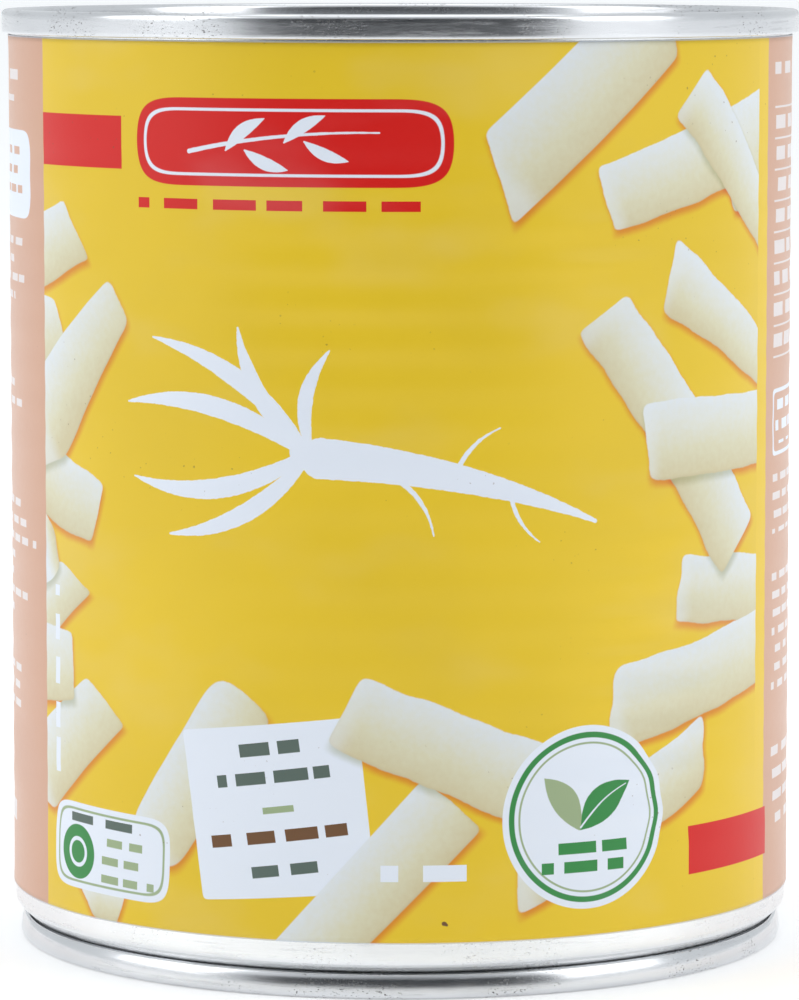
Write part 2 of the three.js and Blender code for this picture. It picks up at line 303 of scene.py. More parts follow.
class Graph:
    """Builds a node tree with short calls. Each call returns the new node's output socket."""

    def __init__(self, tree: bpy.types.NodeTree) -> None:
        """Takes over a node tree."""
        self.tree = tree

    def node(self, kind: str, **settings: object) -> bpy.types.Node:
        """Adds a node of the given Blender type and sets its properties.

        Args:
            kind: its Blender type.
            settings: its properties.

        Returns:
            The node.
        """
        made = self.tree.nodes.new(kind)
        for name, value in settings.items():
            setattr(made, name, value)
        return made

    def feed(self, socket: bpy.types.NodeSocket, value: Value) -> None:
        """Links a socket to another one, or sets its own value.

        Args:
            socket: the input.
            value: the other socket, or the value.
        """
        if isinstance(value, bpy.types.NodeSocket):
            self.tree.links.new(value, socket)
        elif socket.type == "RGBA":
            socket.default_value = (*value, 1.0)
        else:
            socket.default_value = value

    def math(self, operation: str, *values: Value) -> bpy.types.NodeSocket:
        """Adds a Math node.

        Args:
            operation: its operation.
            values: its inputs.

        Returns:
            Its result.
        """
        made = self.node("ShaderNodeMath", operation=operation)
        for socket, value in zip(made.inputs, values):
            self.feed(socket, value)
        return made.outputs[0]

    def vector(self, operation: str, *values: Value) -> bpy.types.NodeSocket:
        """Adds a Vector Math node; a dot product, length or distance gives its number.

        Args:
            operation: its operation.
            values: its inputs.

        Returns:
            Its result.
        """
        made = self.node("ShaderNodeVectorMath", operation=operation)
        for socket, value in zip(made.inputs, values):
            self.feed(socket, value)
        is_number = operation in ("DOT_PRODUCT", "LENGTH", "DISTANCE")
        return made.outputs["Value" if is_number else "Vector"]

    def step(
        self, value: Value, low: float, high: float, start: Value = 0.0, end: Value = 1.0
    ) -> bpy.types.NodeSocket:
        """Maps low..high onto start..end with an S-shaped step, flat outside.

        Args:
            value: what is mapped.
            low: where the step starts.
            high: where it ends.
            start: the result below it.
            end: the result above it.

        Returns:
            The result.
        """
        made = self.node("ShaderNodeMapRange", interpolation_type="SMOOTHSTEP")
        names = ("Value", "From Min", "From Max", "To Min", "To Max")
        for name, part in zip(names, (value, low, high, start, end)):
            self.feed(made.inputs[name], part)
        return made.outputs["Result"]

    def mix(self, share: Value, low: Value, high: Value, mode: str = "MIX") -> bpy.types.NodeSocket:
        """Adds a colour Mix node, from `low` to `high` by `share`.

        Args:
            share: how much of `high` is taken.
            low: the first colour.
            high: the second one.
            mode: the blend type.

        Returns:
            The mixed colour.
        """
        made = self.node("ShaderNodeMix", data_type="RGBA", blend_type=mode)
        for index, part in ((0, share), (6, low), (7, high)):
            self.feed(made.inputs[index], part)
        return made.outputs[2]

    def ramp(self, value: Value, stops: dict[float, Colour]) -> bpy.types.NodeSocket:
        """Adds a Color Ramp with a colour at each position.

        Args:
            value: where it is read.
            stops: the colour at each position, in order.

        Returns:
            The colour.
        """
        made = self.node("ShaderNodeValToRGB")
        while len(made.color_ramp.elements) < len(stops):
            made.color_ramp.elements.new(1.0)
        for element, (position, colour) in zip(made.color_ramp.elements, stops.items()):
            element.position = position
            element.color = (*colour, 1.0)
        self.feed(made.inputs[0], value)
        return made.outputs["Color"]

    def noise(self, place: Value, scale: float, detail: float = 2.0) -> bpy.types.NodeSocket:
        """Adds a Noise Texture read at `place`; gives its number, about 0.5 on average.

        Args:
            place: where it is read.
            scale: lumps to one unit of the place.
            detail: the number of finer layers.

        Returns:
            Its number.
        """
        made = self.node("ShaderNodeTexNoise")
        self.feed(made.inputs["Vector"], place)
        made.inputs["Scale"].default_value = scale
        made.inputs["Detail"].default_value = detail
        return made.outputs["Fac"]

    def random(self, place: Value) -> bpy.types.NodeSocket:
        """Adds a White Noise Texture: a random number for each different vector.

        Args:
            place: the vector.

        Returns:
            Its number, 0 to 1.
        """
        made = self.node("ShaderNodeTexWhiteNoise")
        self.feed(made.inputs["Vector"], place)
        return made.outputs["Value"]

    def combine(self, x: Value, y: Value, z: Value) -> bpy.types.NodeSocket:
        """Makes a vector of three numbers.

        Args:
            x: the first number.
            y: the second.
            z: the third.

        Returns:
            The vector.
        """
        made = self.node("ShaderNodeCombineXYZ")
        for socket, value in zip(made.inputs, (x, y, z)):
            self.feed(socket, value)
        return made.outputs[0]

    def parts(self, value: Value) -> tuple[bpy.types.NodeSocket, ...]:
        """Splits a vector into its three numbers.

        Args:
            value: the vector.

        Returns:
            Its numbers.
        """
        made = self.node("ShaderNodeSeparateXYZ")
        self.feed(made.inputs[0], value)
        return tuple(made.outputs)

    def use(self, group: bpy.types.NodeTree, **values: Value) -> dict[str, bpy.types.NodeSocket]:
        """Places a node group. An input's name is written with _ for each space.

        Args:
            group: the group's tree.
            values: its inputs.

        Returns:
            Its outputs by name.
        """
        made = self.node("ShaderNodeGroup", node_tree=group)
        for name, value in values.items():
            self.feed(made.inputs[name.replace("_", " ")], value)
        return {output.name: output for output in made.outputs}

    def object_place(self) -> bpy.types.NodeSocket:
        """Object coordinates, in millimetres."""
        place = self.node("ShaderNodeTexCoord").outputs["Object"]
        return self.vector("MULTIPLY", place, (1 / MM, 1 / MM, 1 / MM))

    def bump(self, height: Value, depth: float, strength: float = 1.0) -> bpy.types.NodeSocket:
        """Adds a Bump node whose height of 1 stands for `depth` millimetres.

        Args:
            height: the height, about 0 to 1.
            depth: the depth that 1 stands for.
            strength: how much of it shows.

        Returns:
            The bent normal.
        """
        made = self.node("ShaderNodeBump")
        made.inputs["Strength"].default_value = strength
        made.inputs["Distance"].default_value = depth * MM
        self.feed(made.inputs["Height"], height)
        return made.outputs["Normal"]


class NodeGroup(Graph):
    """A reusable shader node group with named inputs and outputs."""

    def __init__(self, name: str, inputs: dict[str, Kind], outputs: dict[str, Kind]) -> None:
        """Creates the group with its interface and its input and output nodes.

        Args:
            name: its name.
            inputs: its inputs' kinds by name.
            outputs: its outputs' kinds by name.
        """
        tree = bpy.data.node_groups.new(name, "ShaderNodeTree")
        for label, kind in inputs.items():
            tree.interface.new_socket(label, in_out="INPUT", socket_type=kind.value)
        for label, kind in outputs.items():
            tree.interface.new_socket(label, in_out="OUTPUT", socket_type=kind.value)
        super().__init__(tree)
        self.inputs = tree.nodes.new("NodeGroupInput").outputs
        self.results = tree.nodes.new("NodeGroupOutput").inputs

    def give(self, **values: Value) -> bpy.types.NodeTree:
        """Feeds the group's outputs and returns its tree.

        Args:
            values: the outputs.

        Returns:
            The group's tree.
        """
        for name, value in values.items():
            self.feed(self.results[name.replace("_", " ")], value)
        return self.tree


def new_material(name: str) -> tuple[bpy.types.Material, Graph, bpy.types.NodeInputs]:
    """Makes a node material with a Principled BSDF.

    Args:
        name: its name.

    Returns:
        The material, its graph and the inputs of its Principled BSDF.
    """
    material = bpy.data.materials.new(name)
    material.use_nodes = True
    shader = material.node_tree.nodes["Principled BSDF"]
    return material, Graph(material.node_tree), shader.inputs


# ---------------------------------------------------------------- finishes


def tin_wear_group() -> bpy.types.NodeTree:
    """Wear of bright tinplate: fine grain, dull streaks round the can and dark pits in clusters.

    The grain and the streaks are noise stretched round the can. The pits are the peaks of a fine
    noise where a slow one is high; they are weak on the flat of an end and full at its rim. A
    height of 1 is the unworn surface.

    Returns:
        The group.
    """
    inputs = {"Place": Kind.VECTOR, "Pits": Kind.NUMBER, "Streaks": Kind.NUMBER}
    results = {"Grain": Kind.NUMBER, "Streak": Kind.NUMBER, "Pit": Kind.NUMBER}
    group = NodeGroup("Tin wear", inputs, {**results, "Height": Kind.NUMBER})
    place = group.inputs["Place"]
    grain = group.noise(group.vector("MULTIPLY", place, (0.5, 0.5, 6.0)), 0.9, 4.0)
    streak = group.noise(group.vector("MULTIPLY", place, (0.25, 0.25, 5.0)), 0.5, 3.0)
    streak = group.math("MULTIPLY", group.step(streak, 0.56, 0.7), group.inputs["Streaks"])
    cluster = group.step(group.noise(place, 0.11, 2.0), 0.47, 0.60)
    fine = group.noise(group.vector("MULTIPLY", place, (0.6, 0.6, 1.4)), 3.8, 3.0)
    pit = group.step(fine, 0.61, 0.67)
    reach = group.vector("LENGTH", group.vector("MULTIPLY", place, (1.0, 1.0, 0.0)))
    pit = group.math("MULTIPLY", pit, group.step(reach, 43.0, 48.0, 0.2, 1.0))
    pit = group.math("MULTIPLY", group.math("MULTIPLY", pit, cluster), group.inputs["Pits"])
    height = group.math("MULTIPLY", grain, 0.3)
    height = group.math("SUBTRACT", height, group.math("MULTIPLY", pit, 0.8))
    return group.give(Grain=grain, Streak=streak, Pit=pit, Height=group.math("ADD", height, 0.7))


@dataclass(frozen=True)
class Tinplate:
    """Bright tinplate, with its grain, dull streaks and dark pits.

    colour is the clean metal's, worn is the colour in the pits, rough is the clean roughness,
    pits and streaks are how strongly these show, and weld is the half width in millimetres of a
    dark weld line along the back, or 0.
    """

    name: str
    colour: Colour
    worn: Colour
    rough: float
    pits: float
    streaks: float
    weld: float = 0.0

    def material(self, wear: bpy.types.NodeTree) -> bpy.types.Material:
        """Makes the finish.

        Args:
            wear: the tin wear group.

        Returns:
            The material.
        """
        material, graph, shader = new_material(self.name)
        place = graph.object_place()
        signs = graph.use(wear, Place=place, Pits=self.pits, Streaks=self.streaks)
        cloud = graph.step(graph.noise(place, 0.05, 3.0), 0.35, 0.65)
        deeper = tuple(0.93 * part for part in self.colour)
        colour = graph.mix(cloud, self.colour, deeper)
        worn = graph.math("MAXIMUM", signs["Pit"], graph.math("MULTIPLY", signs["Streak"], 0.15))
        colour = graph.mix(worn, colour, self.worn)
        rough = graph.math("MULTIPLY_ADD", signs["Grain"], 0.14, self.rough - 0.07)
        rough = graph.math("MULTIPLY_ADD", signs["Streak"], 0.12, rough)
        rough = graph.math("MULTIPLY_ADD", signs["Pit"], 0.3, rough)
        if self.weld:
            across, back, _ = graph.parts(place)
            line = graph.step(graph.math("ABSOLUTE", across), self.weld, self.weld + 0.15, 1.0, 0.0)
            line = graph.math("MULTIPLY", line, graph.math("GREATER_THAN", back, 0.0))
            colour = graph.mix(line, colour, self.worn)
            rough = graph.math("MAXIMUM", rough, graph.math("MULTIPLY", line, 0.55))
        graph.feed(shader["Base Color"], colour)
        graph.feed(shader["Roughness"], rough)
        graph.feed(shader["Normal"], graph.bump(signs["Height"], 0.004))
        shader["Metallic"].default_value = 1.0
        return material


@dataclass(frozen=True)
class SoftFilling:
    """A dull material with a fine lumpy surface: sealing compound, glue or bare paper.

    low and high are the colours of its hollows and lumps, and lump is their size in millimetres.
    """

    name: str
    low: Colour
    high: Colour
    rough: float
    lump: float

    def material(self) -> bpy.types.Material:
        """Makes the finish.

        Returns:
            The material.
        """
        material, graph, shader = new_material(self.name)
        lumps = graph.noise(graph.object_place(), 1.0 / self.lump, 4.0)
        share = graph.step(lumps, 0.3, 0.7)
        graph.feed(shader["Base Color"], graph.mix(share, self.low, self.high))
        rough = graph.math("MULTIPLY_ADD", share, 0.15, self.rough)
        graph.feed(shader["Roughness"], rough)
        graph.feed(shader["Normal"], graph.bump(lumps, 0.03))
        return material


@dataclass(frozen=True)
class RootFlesh:
    """The creamy, finely fibrous flesh of a peeled salsify root, wet with brine."""

    name: str = "peeled_root_flesh"
    pale: Colour = (0.80, 0.77, 0.62)
    deep: Colour = (0.66, 0.60, 0.42)
    spot: Colour = (0.42, 0.33, 0.19)

    def material(self) -> bpy.types.Material:
        """Makes the finish: fibres along Z, slow blotches, and a few brown spots.

        Returns:
            The material.
        """
        material, graph, shader = new_material(self.name)
        place = graph.object_place()
        fibre = graph.noise(graph.vector("MULTIPLY", place, (1.0, 1.0, 0.06)), 1.6, 4.0)
        blotch = graph.noise(place, 0.12, 3.0)
        share = graph.step(graph.math("ADD", fibre, blotch), 0.75, 1.25)
        colour = graph.mix(share, self.pale, self.deep)
        spots = graph.step(graph.noise(place, 0.4, 1.0), 0.73, 0.79)
        graph.feed(shader["Base Color"], graph.mix(spots, colour, self.spot))
        graph.feed(shader["Roughness"], graph.math("MULTIPLY_ADD", fibre, 0.3, 0.2))
        graph.feed(shader["Normal"], graph.bump(fibre, 0.15))
        shader["Coat Weight"].default_value = 0.3
        shader["Coat Roughness"].default_value = 0.1
        return material


# ---------------------------------------------------------------- tinplate pieces


@dataclass
class DoubleSeam:
    """The radii of a double seam's layers about a body wall of the given outer radius.

    Going outwards: the cover's chuck wall, the body wall, the cover hook, the body hook and the
    cover's seaming wall, all as the middles of their plates.
    """

    wall: float
    body_plate: float = 0.2
    end_plate: float = 0.24
    film: float = 0.12
    chuck_gap: float = 0.06
    length: float = 3.0
    crown: float = 0.12
    flange: float = 0.46
    body_hook_length: float = 2.15
    cover_hook_length: float = 1.85

    def radii(self) -> tuple[float, float, float, float, float]:
        """Returns the chuck wall, body wall, cover hook, body hook and seaming wall radii."""
        body_wall = self.wall - self.body_plate / 2
        chuck_wall = self.wall - self.body_plate - self.chuck_gap - self.end_plate / 2
        cover_hook = self.wall + self.film + self.end_plate / 2
        step = self.end_plate / 2 + self.film + self.body_plate / 2
        return chuck_wall, body_wall, cover_hook, cover_hook + step, cover_hook + 2 * step

    def curl(self) -> float:
        """Returns the depth of the middle of the cover's lower curl below the crown."""
        return self.length - self.end_plate / 2

    def body_hook_path(self) -> np.ndarray:
        """Returns the body hook's corners as (radius, depth), from the wall to the hook's tip."""
        _, body_wall, _, body_hook, _ = self.radii()
        tip = self.flange + self.body_hook_length
        return np.array([[body_wall, self.flange], [body_hook, self.flange], [body_hook, tip]])

    def compound_outline(self) -> np.ndarray:
        """Returns the outline of the compound above the cover hook's tip, as (radius, depth)."""
        _, _, hook, _, _ = self.radii()
        half = self.end_plate / 2 + self.film / 2
        top = self.flange + self.body_plate / 2 + self.film / 2
        low = self.curl() - self.cover_hook_length - self.film / 2
        inner, outer = hook - half, hook + half
        return np.array([[inner, top], [outer, top], [outer, low], [inner, low]])


@dataclass
class TinBody:
    """The welded, beaded wall, hooked into both seams and necked in at the bottom."""

    height: float
    top: DoubleSeam
    bottom: DoubleSeam
    neck_low: float = 3.15
    neck_high: float = 4.7
    bead_count: int = 18
    bead_pitch: float = 4.8
    bead_depth: float = 0.55
    bead_middle: float = 59.6
    columns: int = 181

    def trough(self, height: np.ndarray) -> np.ndarray:
        """Depth share of the beads: (1 - cos) / 2 of the turn along the pitch, 0 at their ends.

        Args:
            height: heights on the wall.

        Returns:
            The share at each height.
        """
        reach = self.bead_count * self.bead_pitch / 2
        turn = (height - self.bead_middle + reach) / self.bead_pitch
        inside = (turn > 0) & (turn < self.bead_count)
        return np.where(inside, (1 - np.cos(2 * math.pi * turn)) / 2, 0.0)

    def centre_path(self) -> np.ndarray:
        """The plate's middle, from the bottom hook's tip to the top hook's, as (radius, z).

        Straight lines joined by arcs; on the wall the radius is less by the bead's depth times
        its share.

        Returns:
            The path's points, (n, 2).
        """
        low = self.bottom.body_hook_path()[::-1]
        high = self.top.body_hook_path()
        high[:, 1] = self.height - high[:, 1]
        neck = [[low[-1, 0], self.neck_low], [high[0, 0], self.neck_high]]
        corners = np.concatenate([low, neck, high])
        path = rounded_path(corners, np.array([0, 0.3, 0.3, 0.5, 1.2, 0.3, 0.3, 0]), 0.3)
        path = fill_in(path, self.bead_pitch / 7)
        path[:, 0] -= self.bead_depth * self.trough(path[:, 1])
        return path

    def build(self, finish: bpy.types.Material) -> bpy.types.Object:
        """Builds the wall.

        Args:
            finish: the tinplate.

        Returns:
            The piece.
        """
        outline = plate_outline(self.centre_path(), self.top.body_plate)
        angle = np.linspace(0.0, 2 * math.pi, self.columns)
        wall = ease(outline[:, 1], 6.0, 14.0) * ease(-outline[:, 1], -112.0, -104.0)
        ripple = 0.02 * (uneven_ring(angle, 5, range(2, 9)) - 1.0) * wall[:, None]
        piece = build_piece("tin_body", [revolve(outline, ripple)])
        settle(piece, Slot.BODY, "can_body", finish)
        return piece


class EndSide(Enum):
    """The two ends, with their CAD nodes."""

    TOP = "top"
    BOTTOM = "bottom"


@dataclass
class StampedEnd:
    """A stamped end: a flat panel with a raised ring and a step, a countersink and its seam."""

    side: EndSide
    can_height: float
    seam: DoubleSeam
    panel_depth: float = 3.6
    countersink_depth: float = 4.3
    countersink_width: float = 1.4
    ring_inner: float = 27.0
    ring_outer: float = 33.0
    ring_rise: float = 0.55
    slope: float = 1.2
    step_radius: float = 41.0
    step_drop: float = 0.3
    columns: int = 257
    wobble: float = 0.035

    def centre_path(self) -> np.ndarray:
        """The plate's middle as (radius, depth below the crown), with its bends rounded.

        The seaming wall leans inwards towards its curl, far more on the bottom end.

        Returns:
            The path's points, (n, 2).
        """
        chuck_wall, _, cover_hook, _, seaming_wall = self.seam.radii()
        half = self.seam.end_plate / 2
        panel, groove = self.panel_depth + half, self.countersink_depth + half
        curl = self.seam.curl()
        sink = chuck_wall - 0.45
        stepped, raised, crown = panel - self.step_drop, panel - self.ring_rise, self.seam.crown
        lean = BOTTOM_LEAN if self.side is EndSide.BOTTOM else TOP_LEAN
        # radius, depth, radius of the bend
        bends = [
            (0.0, panel, 0.0),
            (self.ring_inner, panel, 2.0),
            (self.ring_inner + self.slope, raised, 2.0),
            (self.ring_outer - self.slope, raised, 2.0),
            (self.ring_outer, panel, 2.0),
            (self.step_radius, panel, 2.0),
            (self.step_radius + self.slope, stepped, 2.0),
            (sink - self.countersink_width - 0.5, stepped, 0.5),
            (sink - self.countersink_width + 0.2, groove, 0.6),
            (sink, groove, 0.6),
            (chuck_wall, self.seam.length, 1.0),
            (chuck_wall, crown, 0.55),
            (seaming_wall, crown, 0.55),
            (seaming_wall - 0.03 * lean, curl - 1.8, 6.0),
            (seaming_wall - 0.22 * lean, curl - 0.95, 3.0),
            (seaming_wall - 0.5 * lean, curl - 0.45, 0.9),
            (seaming_wall - lean, curl, 0.17),
            (cover_hook, curl, 0.15),
            (cover_hook, curl - self.seam.cover_hook_length, 0.0),
        ]
        table = np.array(bends)
        return fill_in(rounded_path(table[:, :2], table[:, 2], 0.22), 2.0)

    def build(self, finish: bpy.types.Material) -> bpy.types.Object:
        """Builds the end.

        The seaming rolls leave the seam's wall slightly uneven: its radius is up to twice the
        wobble smaller than true, more towards the lower curl.

        Args:
            finish: the tinplate.

        Returns:
            The piece.
        """
        outline = plate_outline(self.centre_path(), self.seam.end_plate)
        seaming_wall = self.seam.radii()[4]
        rolled = ease(outline[:, 0], seaming_wall - 0.5, seaming_wall)
        rolled = rolled * (0.35 + 0.65 * ease(outline[:, 1], 0.6, self.seam.length))
        angle = np.linspace(0.0, 2 * math.pi, self.columns)
        seed = 11 if self.side is EndSide.TOP else 12
        ripple = self.wobble * (uneven_ring(angle, seed, range(3, 20)) - 1.0) * rolled[:, None]
        if self.side is EndSide.TOP:
            outline[:, 1] = self.can_height - outline[:, 1]
        piece = build_piece(f"tin_{self.side.value}_end", [revolve(outline, ripple)])
        settle(piece, Slot.END, f"{self.side.value}_end", finish)
        return piece

    def build_compound(self, finish: bpy.types.Material) -> bpy.types.Object:
        """Builds the ring of sealing compound that the seam squeezes above its cover hook.

        Args:
            finish: the compound.

        Returns:
            The piece.
        """
        corners = self.seam.compound_outline()
        if self.side is EndSide.TOP:
            corners[:, 1] = self.can_height - corners[:, 1]
        outline = fill_in(np.concatenate([corners, corners[:1]]), 0.08)[:-1]
        angle = np.linspace(0.0, 2 * math.pi, self.columns)
        ripple = 0.012 * np.sin(outline[:, 1, None] * 25 + uneven_ring(angle, 3, range(5, 40)) * 6)
        piece = build_piece(f"{self.side.value}_compound_ring", [revolve(outline, ripple)])
        settle(piece, Slot.COMPOUND, f"{self.side.value}_seam_compound", finish)
        return piece


# ---------------------------------------------------------------- label print
#
# Printing is done in layers. Each layer is a node group that takes the colour so far and gives
# the colour with one more shape on it. A place on the label is (s, z, 1): s is the distance in
# millimetres round the can from the middle of the front, and z the height. With that 1 in it, a
# straight side is one vector, whose dot product with the place is the distance outside the side.

Point = tuple[float, float]
YELLOW: Colour = (0.82, 0.565, 0.026)
CLAY: Colour = (0.63, 0.36, 0.245)
WHITE: Colour = (0.78, 0.83, 0.92)
SMALL_PRINT: Colour = (0.76, 0.69, 0.68)  # fine white print with the clay between its strokes
RED: Colour = (0.66, 0.012, 0.009)
GREEN: Colour = (0.035, 0.25, 0.06)
GREY: Colour = (0.10, 0.14, 0.12)
BROWN: Colour = (0.16, 0.075, 0.03)
SOFT_GREEN: Colour = (0.33, 0.42, 0.24)
# The pictured flesh from its light side to its dark one, then its shaded rim and its cut end.
PRINTED_FLESH = {
    0.0: (0.73, 0.77, 0.80),
    0.3: (0.72, 0.73, 0.66),
    0.65: (0.69, 0.66, 0.47),
    1.0: (0.63, 0.56, 0.35),
}
PRINTED_RIM: Colour = (0.50, 0.42, 0.24)
PRINTED_END: Colour = (0.75, 0.79, 0.82)
# What a pictured shadow multiplies the colour under it by.
SHADOW_ON_YELLOW: Colour = (0.88, 0.46, 0.7)
SHADOW_ON_CREAM: Colour = (0.70, 0.70, 0.58)
SOLID = 1000.0  # a line this wide fills its shape
SHORTEST_WORD = 0.2  # of a word's cell
INK_EDGE = 0.06  # millimetres over which an ink's edge fades, to each side
TRACE = 1e-9
SHADOW_SHIFT = (0.2, -0.6, 0.0)  # how far a printed root's shadow falls, in millimetres


def side_vectors(corners: tuple[Point, ...]) -> list[tuple[float, float, float]]:
    """The sides between successive corners, as vectors.

    A side's vector is (n, -n . a): n is its unit normal, turned away from the corners' middle,
    and a is a point on it. Four corners make a closed shape; five leave the last gap open.

    Args:
        corners: the shape's corners, in order.

    Returns:
        One vector for each side.
    """
    points = np.array(corners if len(corners) == 5 else (*corners, corners[0]), dtype=float)
    middle = points.mean(axis=0)
    along = np.diff(points, axis=0)
    normal = np.stack([along[:, 1], -along[:, 0]], axis=1)
    normal /= np.linalg.norm(normal, axis=1, keepdims=True)
    offset = -np.sum(normal * points[:-1], axis=1)
    turn = np.where(normal @ middle + offset > 0, -1.0, 1.0)
    return [tuple(side) for side in (np.column_stack([normal, offset]) * turn[:, None]).tolist()]


def rectangle(left: float, right: float, low: float, high: float) -> tuple[Point, ...]:
    """The corners of an upright rectangle."""
    return (left, high), (right, high), (right, low), (left, low)


@dataclass(frozen=True)
class Window:
    """A rectangle of the label that is printed with a material of its own.

    It carries only the shapes that reach into it, which keeps each material small.
    """

    left: float
    right: float
    low: float = LABEL_LOW
    high: float = LABEL_HIGH
    is_front: bool = True
    margin: float = 4.0  # how far a shape's shadow and rough edge may reach

    def shows(self, points: np.ndarray) -> bool:
        """Whether a shape with these corners may reach into the window.

        Args:
            points: the corners, (n, 2).

        Returns:
            True if it may.
        """
        low, high = points.min(axis=0) - self.margin, points.max(axis=0) + self.margin
        across = low[0] < self.right and high[0] > self.left
        return bool(across and low[1] < self.high and high[1] > self.low)


FRONT_ACROSS = (-57.0, -33.0, 10.0, 33.0, 60.0)
FRONT_UP = (LABEL_LOW, 45.0, 93.0, LABEL_HIGH)


class PrintGroups:
    """The node groups that print one shape each."""

    SIDES = {f"Side {number}": Kind.VECTOR for number in (1, 2, 3, 4)}

    def __init__(self) -> None:
        """Builds the groups once."""
        self.sides = self._four_sides()
        self.patch = self._patch()
        self.root = self._root()
        self.stroke = self._stroke()
        self.lines = self._greeked_lines()
        self.wear = self._paper_wear()

    @staticmethod
    def _place_after_colour(group: NodeGroup) -> bpy.types.NodeSocket:
        """A group's place, made to wait for its colour."""
        # A billionth of the colour is added to the place. Without it every layer's shape would
        # be worked out at once, which takes more memory than a shader has.
        trace = group.vector("MULTIPLY", group.inputs["Color"], (TRACE, TRACE, TRACE))
        return group.vector("ADD", group.inputs["Place"], trace)

    def _four_sides(self) -> bpy.types.NodeTree:
        """Distance outside a four-sided shape: the smooth maximum of the four sides' distances.

        Returns:
            The group.
        """
        inputs = {"Place": Kind.VECTOR, **self.SIDES, "Rounding": Kind.NUMBER}
        group = NodeGroup("Four sides", inputs, {"Distance": Kind.NUMBER})
        place, rounding = group.inputs["Place"], group.inputs["Rounding"]
        gaps = [group.vector("DOT_PRODUCT", place, group.inputs[name]) for name in self.SIDES]
        first = group.math("SMOOTH_MAX", gaps[0], gaps[2], rounding)
        second = group.math("SMOOTH_MAX", gaps[1], gaps[3], rounding)
        return group.give(Distance=group.math("SMOOTH_MAX", first, second, rounding))

    def _shape(self, group: NodeGroup, place: Value) -> bpy.types.NodeSocket:
        """Distance outside the shape given by a group's own side inputs.

        Args:
            group: the group.
            place: where it is read.

        Returns:
            The distance.
        """
        values = {name.replace(" ", "_"): group.inputs[name] for name in self.SIDES}
        values["Rounding"] = group.inputs["Rounding"]
        return group.use(self.sides, Place=place, **values)["Distance"]

    def _patch(self) -> bpy.types.NodeTree:
        """A filled shape, or with a smaller line width only a line along its inner edge.

        Returns:
            The group.
        """
        inputs = {"Color": Kind.COLOUR, "Place": Kind.VECTOR, **self.SIDES}
        inputs |= {"Rounding": Kind.NUMBER, "Line Width": Kind.NUMBER, "Ink": Kind.COLOUR}
        group = NodeGroup("Printed patch", inputs, {"Color": Kind.COLOUR})
        half = group.math("MULTIPLY", group.inputs["Line Width"], 0.5)
        gap = group.math("ADD", self._shape(group, self._place_after_colour(group)), half)
        gap = group.math("SUBTRACT", group.math("ABSOLUTE", gap), half)
        mask = group.step(gap, -INK_EDGE, INK_EDGE, 1.0, 0.0)
        return group.give(Color=group.mix(mask, group.inputs["Color"], group.inputs["Ink"]))

    def _root(self) -> bpy.types.NodeTree:
        """A cut piece of peeled root with a soft shadow at its lower right.

        Its colour runs from a cool light side to a creamy dark side by the dot product with
        Across, broken up by the grain, and darkens just inside its shaded outline. It is also
        cool at the cut end, which lies End millimetres back by the dot product with Along. The
        shadow is the same shape moved and blurred; it warms yellow and greys cream.

        Returns:
            The group.
        """
        inputs = {"Color": Kind.COLOUR, "Place": Kind.VECTOR, "Shadow Shift": Kind.VECTOR}
        inputs |= {**self.SIDES, "Rounding": Kind.NUMBER, "Across": Kind.VECTOR}
        inputs |= {"Along": Kind.VECTOR, "End": Kind.NUMBER, "Grain": Kind.NUMBER}
        group = NodeGroup("Printed root", inputs, {"Color": Kind.COLOUR})
        place = self._place_after_colour(group)
        gap = self._shape(group, place)
        shadow_place = group.vector("SUBTRACT", place, group.inputs["Shadow Shift"])
        shade = group.step(self._shape(group, shadow_place), -0.5, 0.75, 1.0, 0.0)
        blue = group.node("ShaderNodeSeparateColor")
        group.feed(blue.inputs[0], group.inputs["Color"])
        on_cream = group.step(blue.outputs[2], 0.08, 0.3)
        tint = group.mix(on_cream, SHADOW_ON_YELLOW, SHADOW_ON_CREAM)
        under = group.mix(shade, group.inputs["Color"], tint, "MULTIPLY")
        across = group.vector("DOT_PRODUCT", place, group.inputs["Across"])
        along = group.vector("DOT_PRODUCT", place, group.inputs["Along"])
        light = group.math("MULTIPLY_ADD", group.inputs["Grain"], 0.3, across)
        flesh = group.ramp(light, PRINTED_FLESH)
        rim = group.step(gap, -0.5, 0.05, 0.0, 0.3)
        rim = group.math("MULTIPLY", rim, group.step(across, 0.5, 0.95))
        flesh = group.mix(rim, flesh, PRINTED_RIM)
        end = group.step(group.math("ADD", along, group.inputs["End"]), 0.0, 3.0, 0.5, 0.0)
        flesh = group.mix(end, flesh, PRINTED_END)
        return group.give(Color=group.mix(group.step(gap, -0.1, 0.1, 1.0, 0.0), under, flesh))

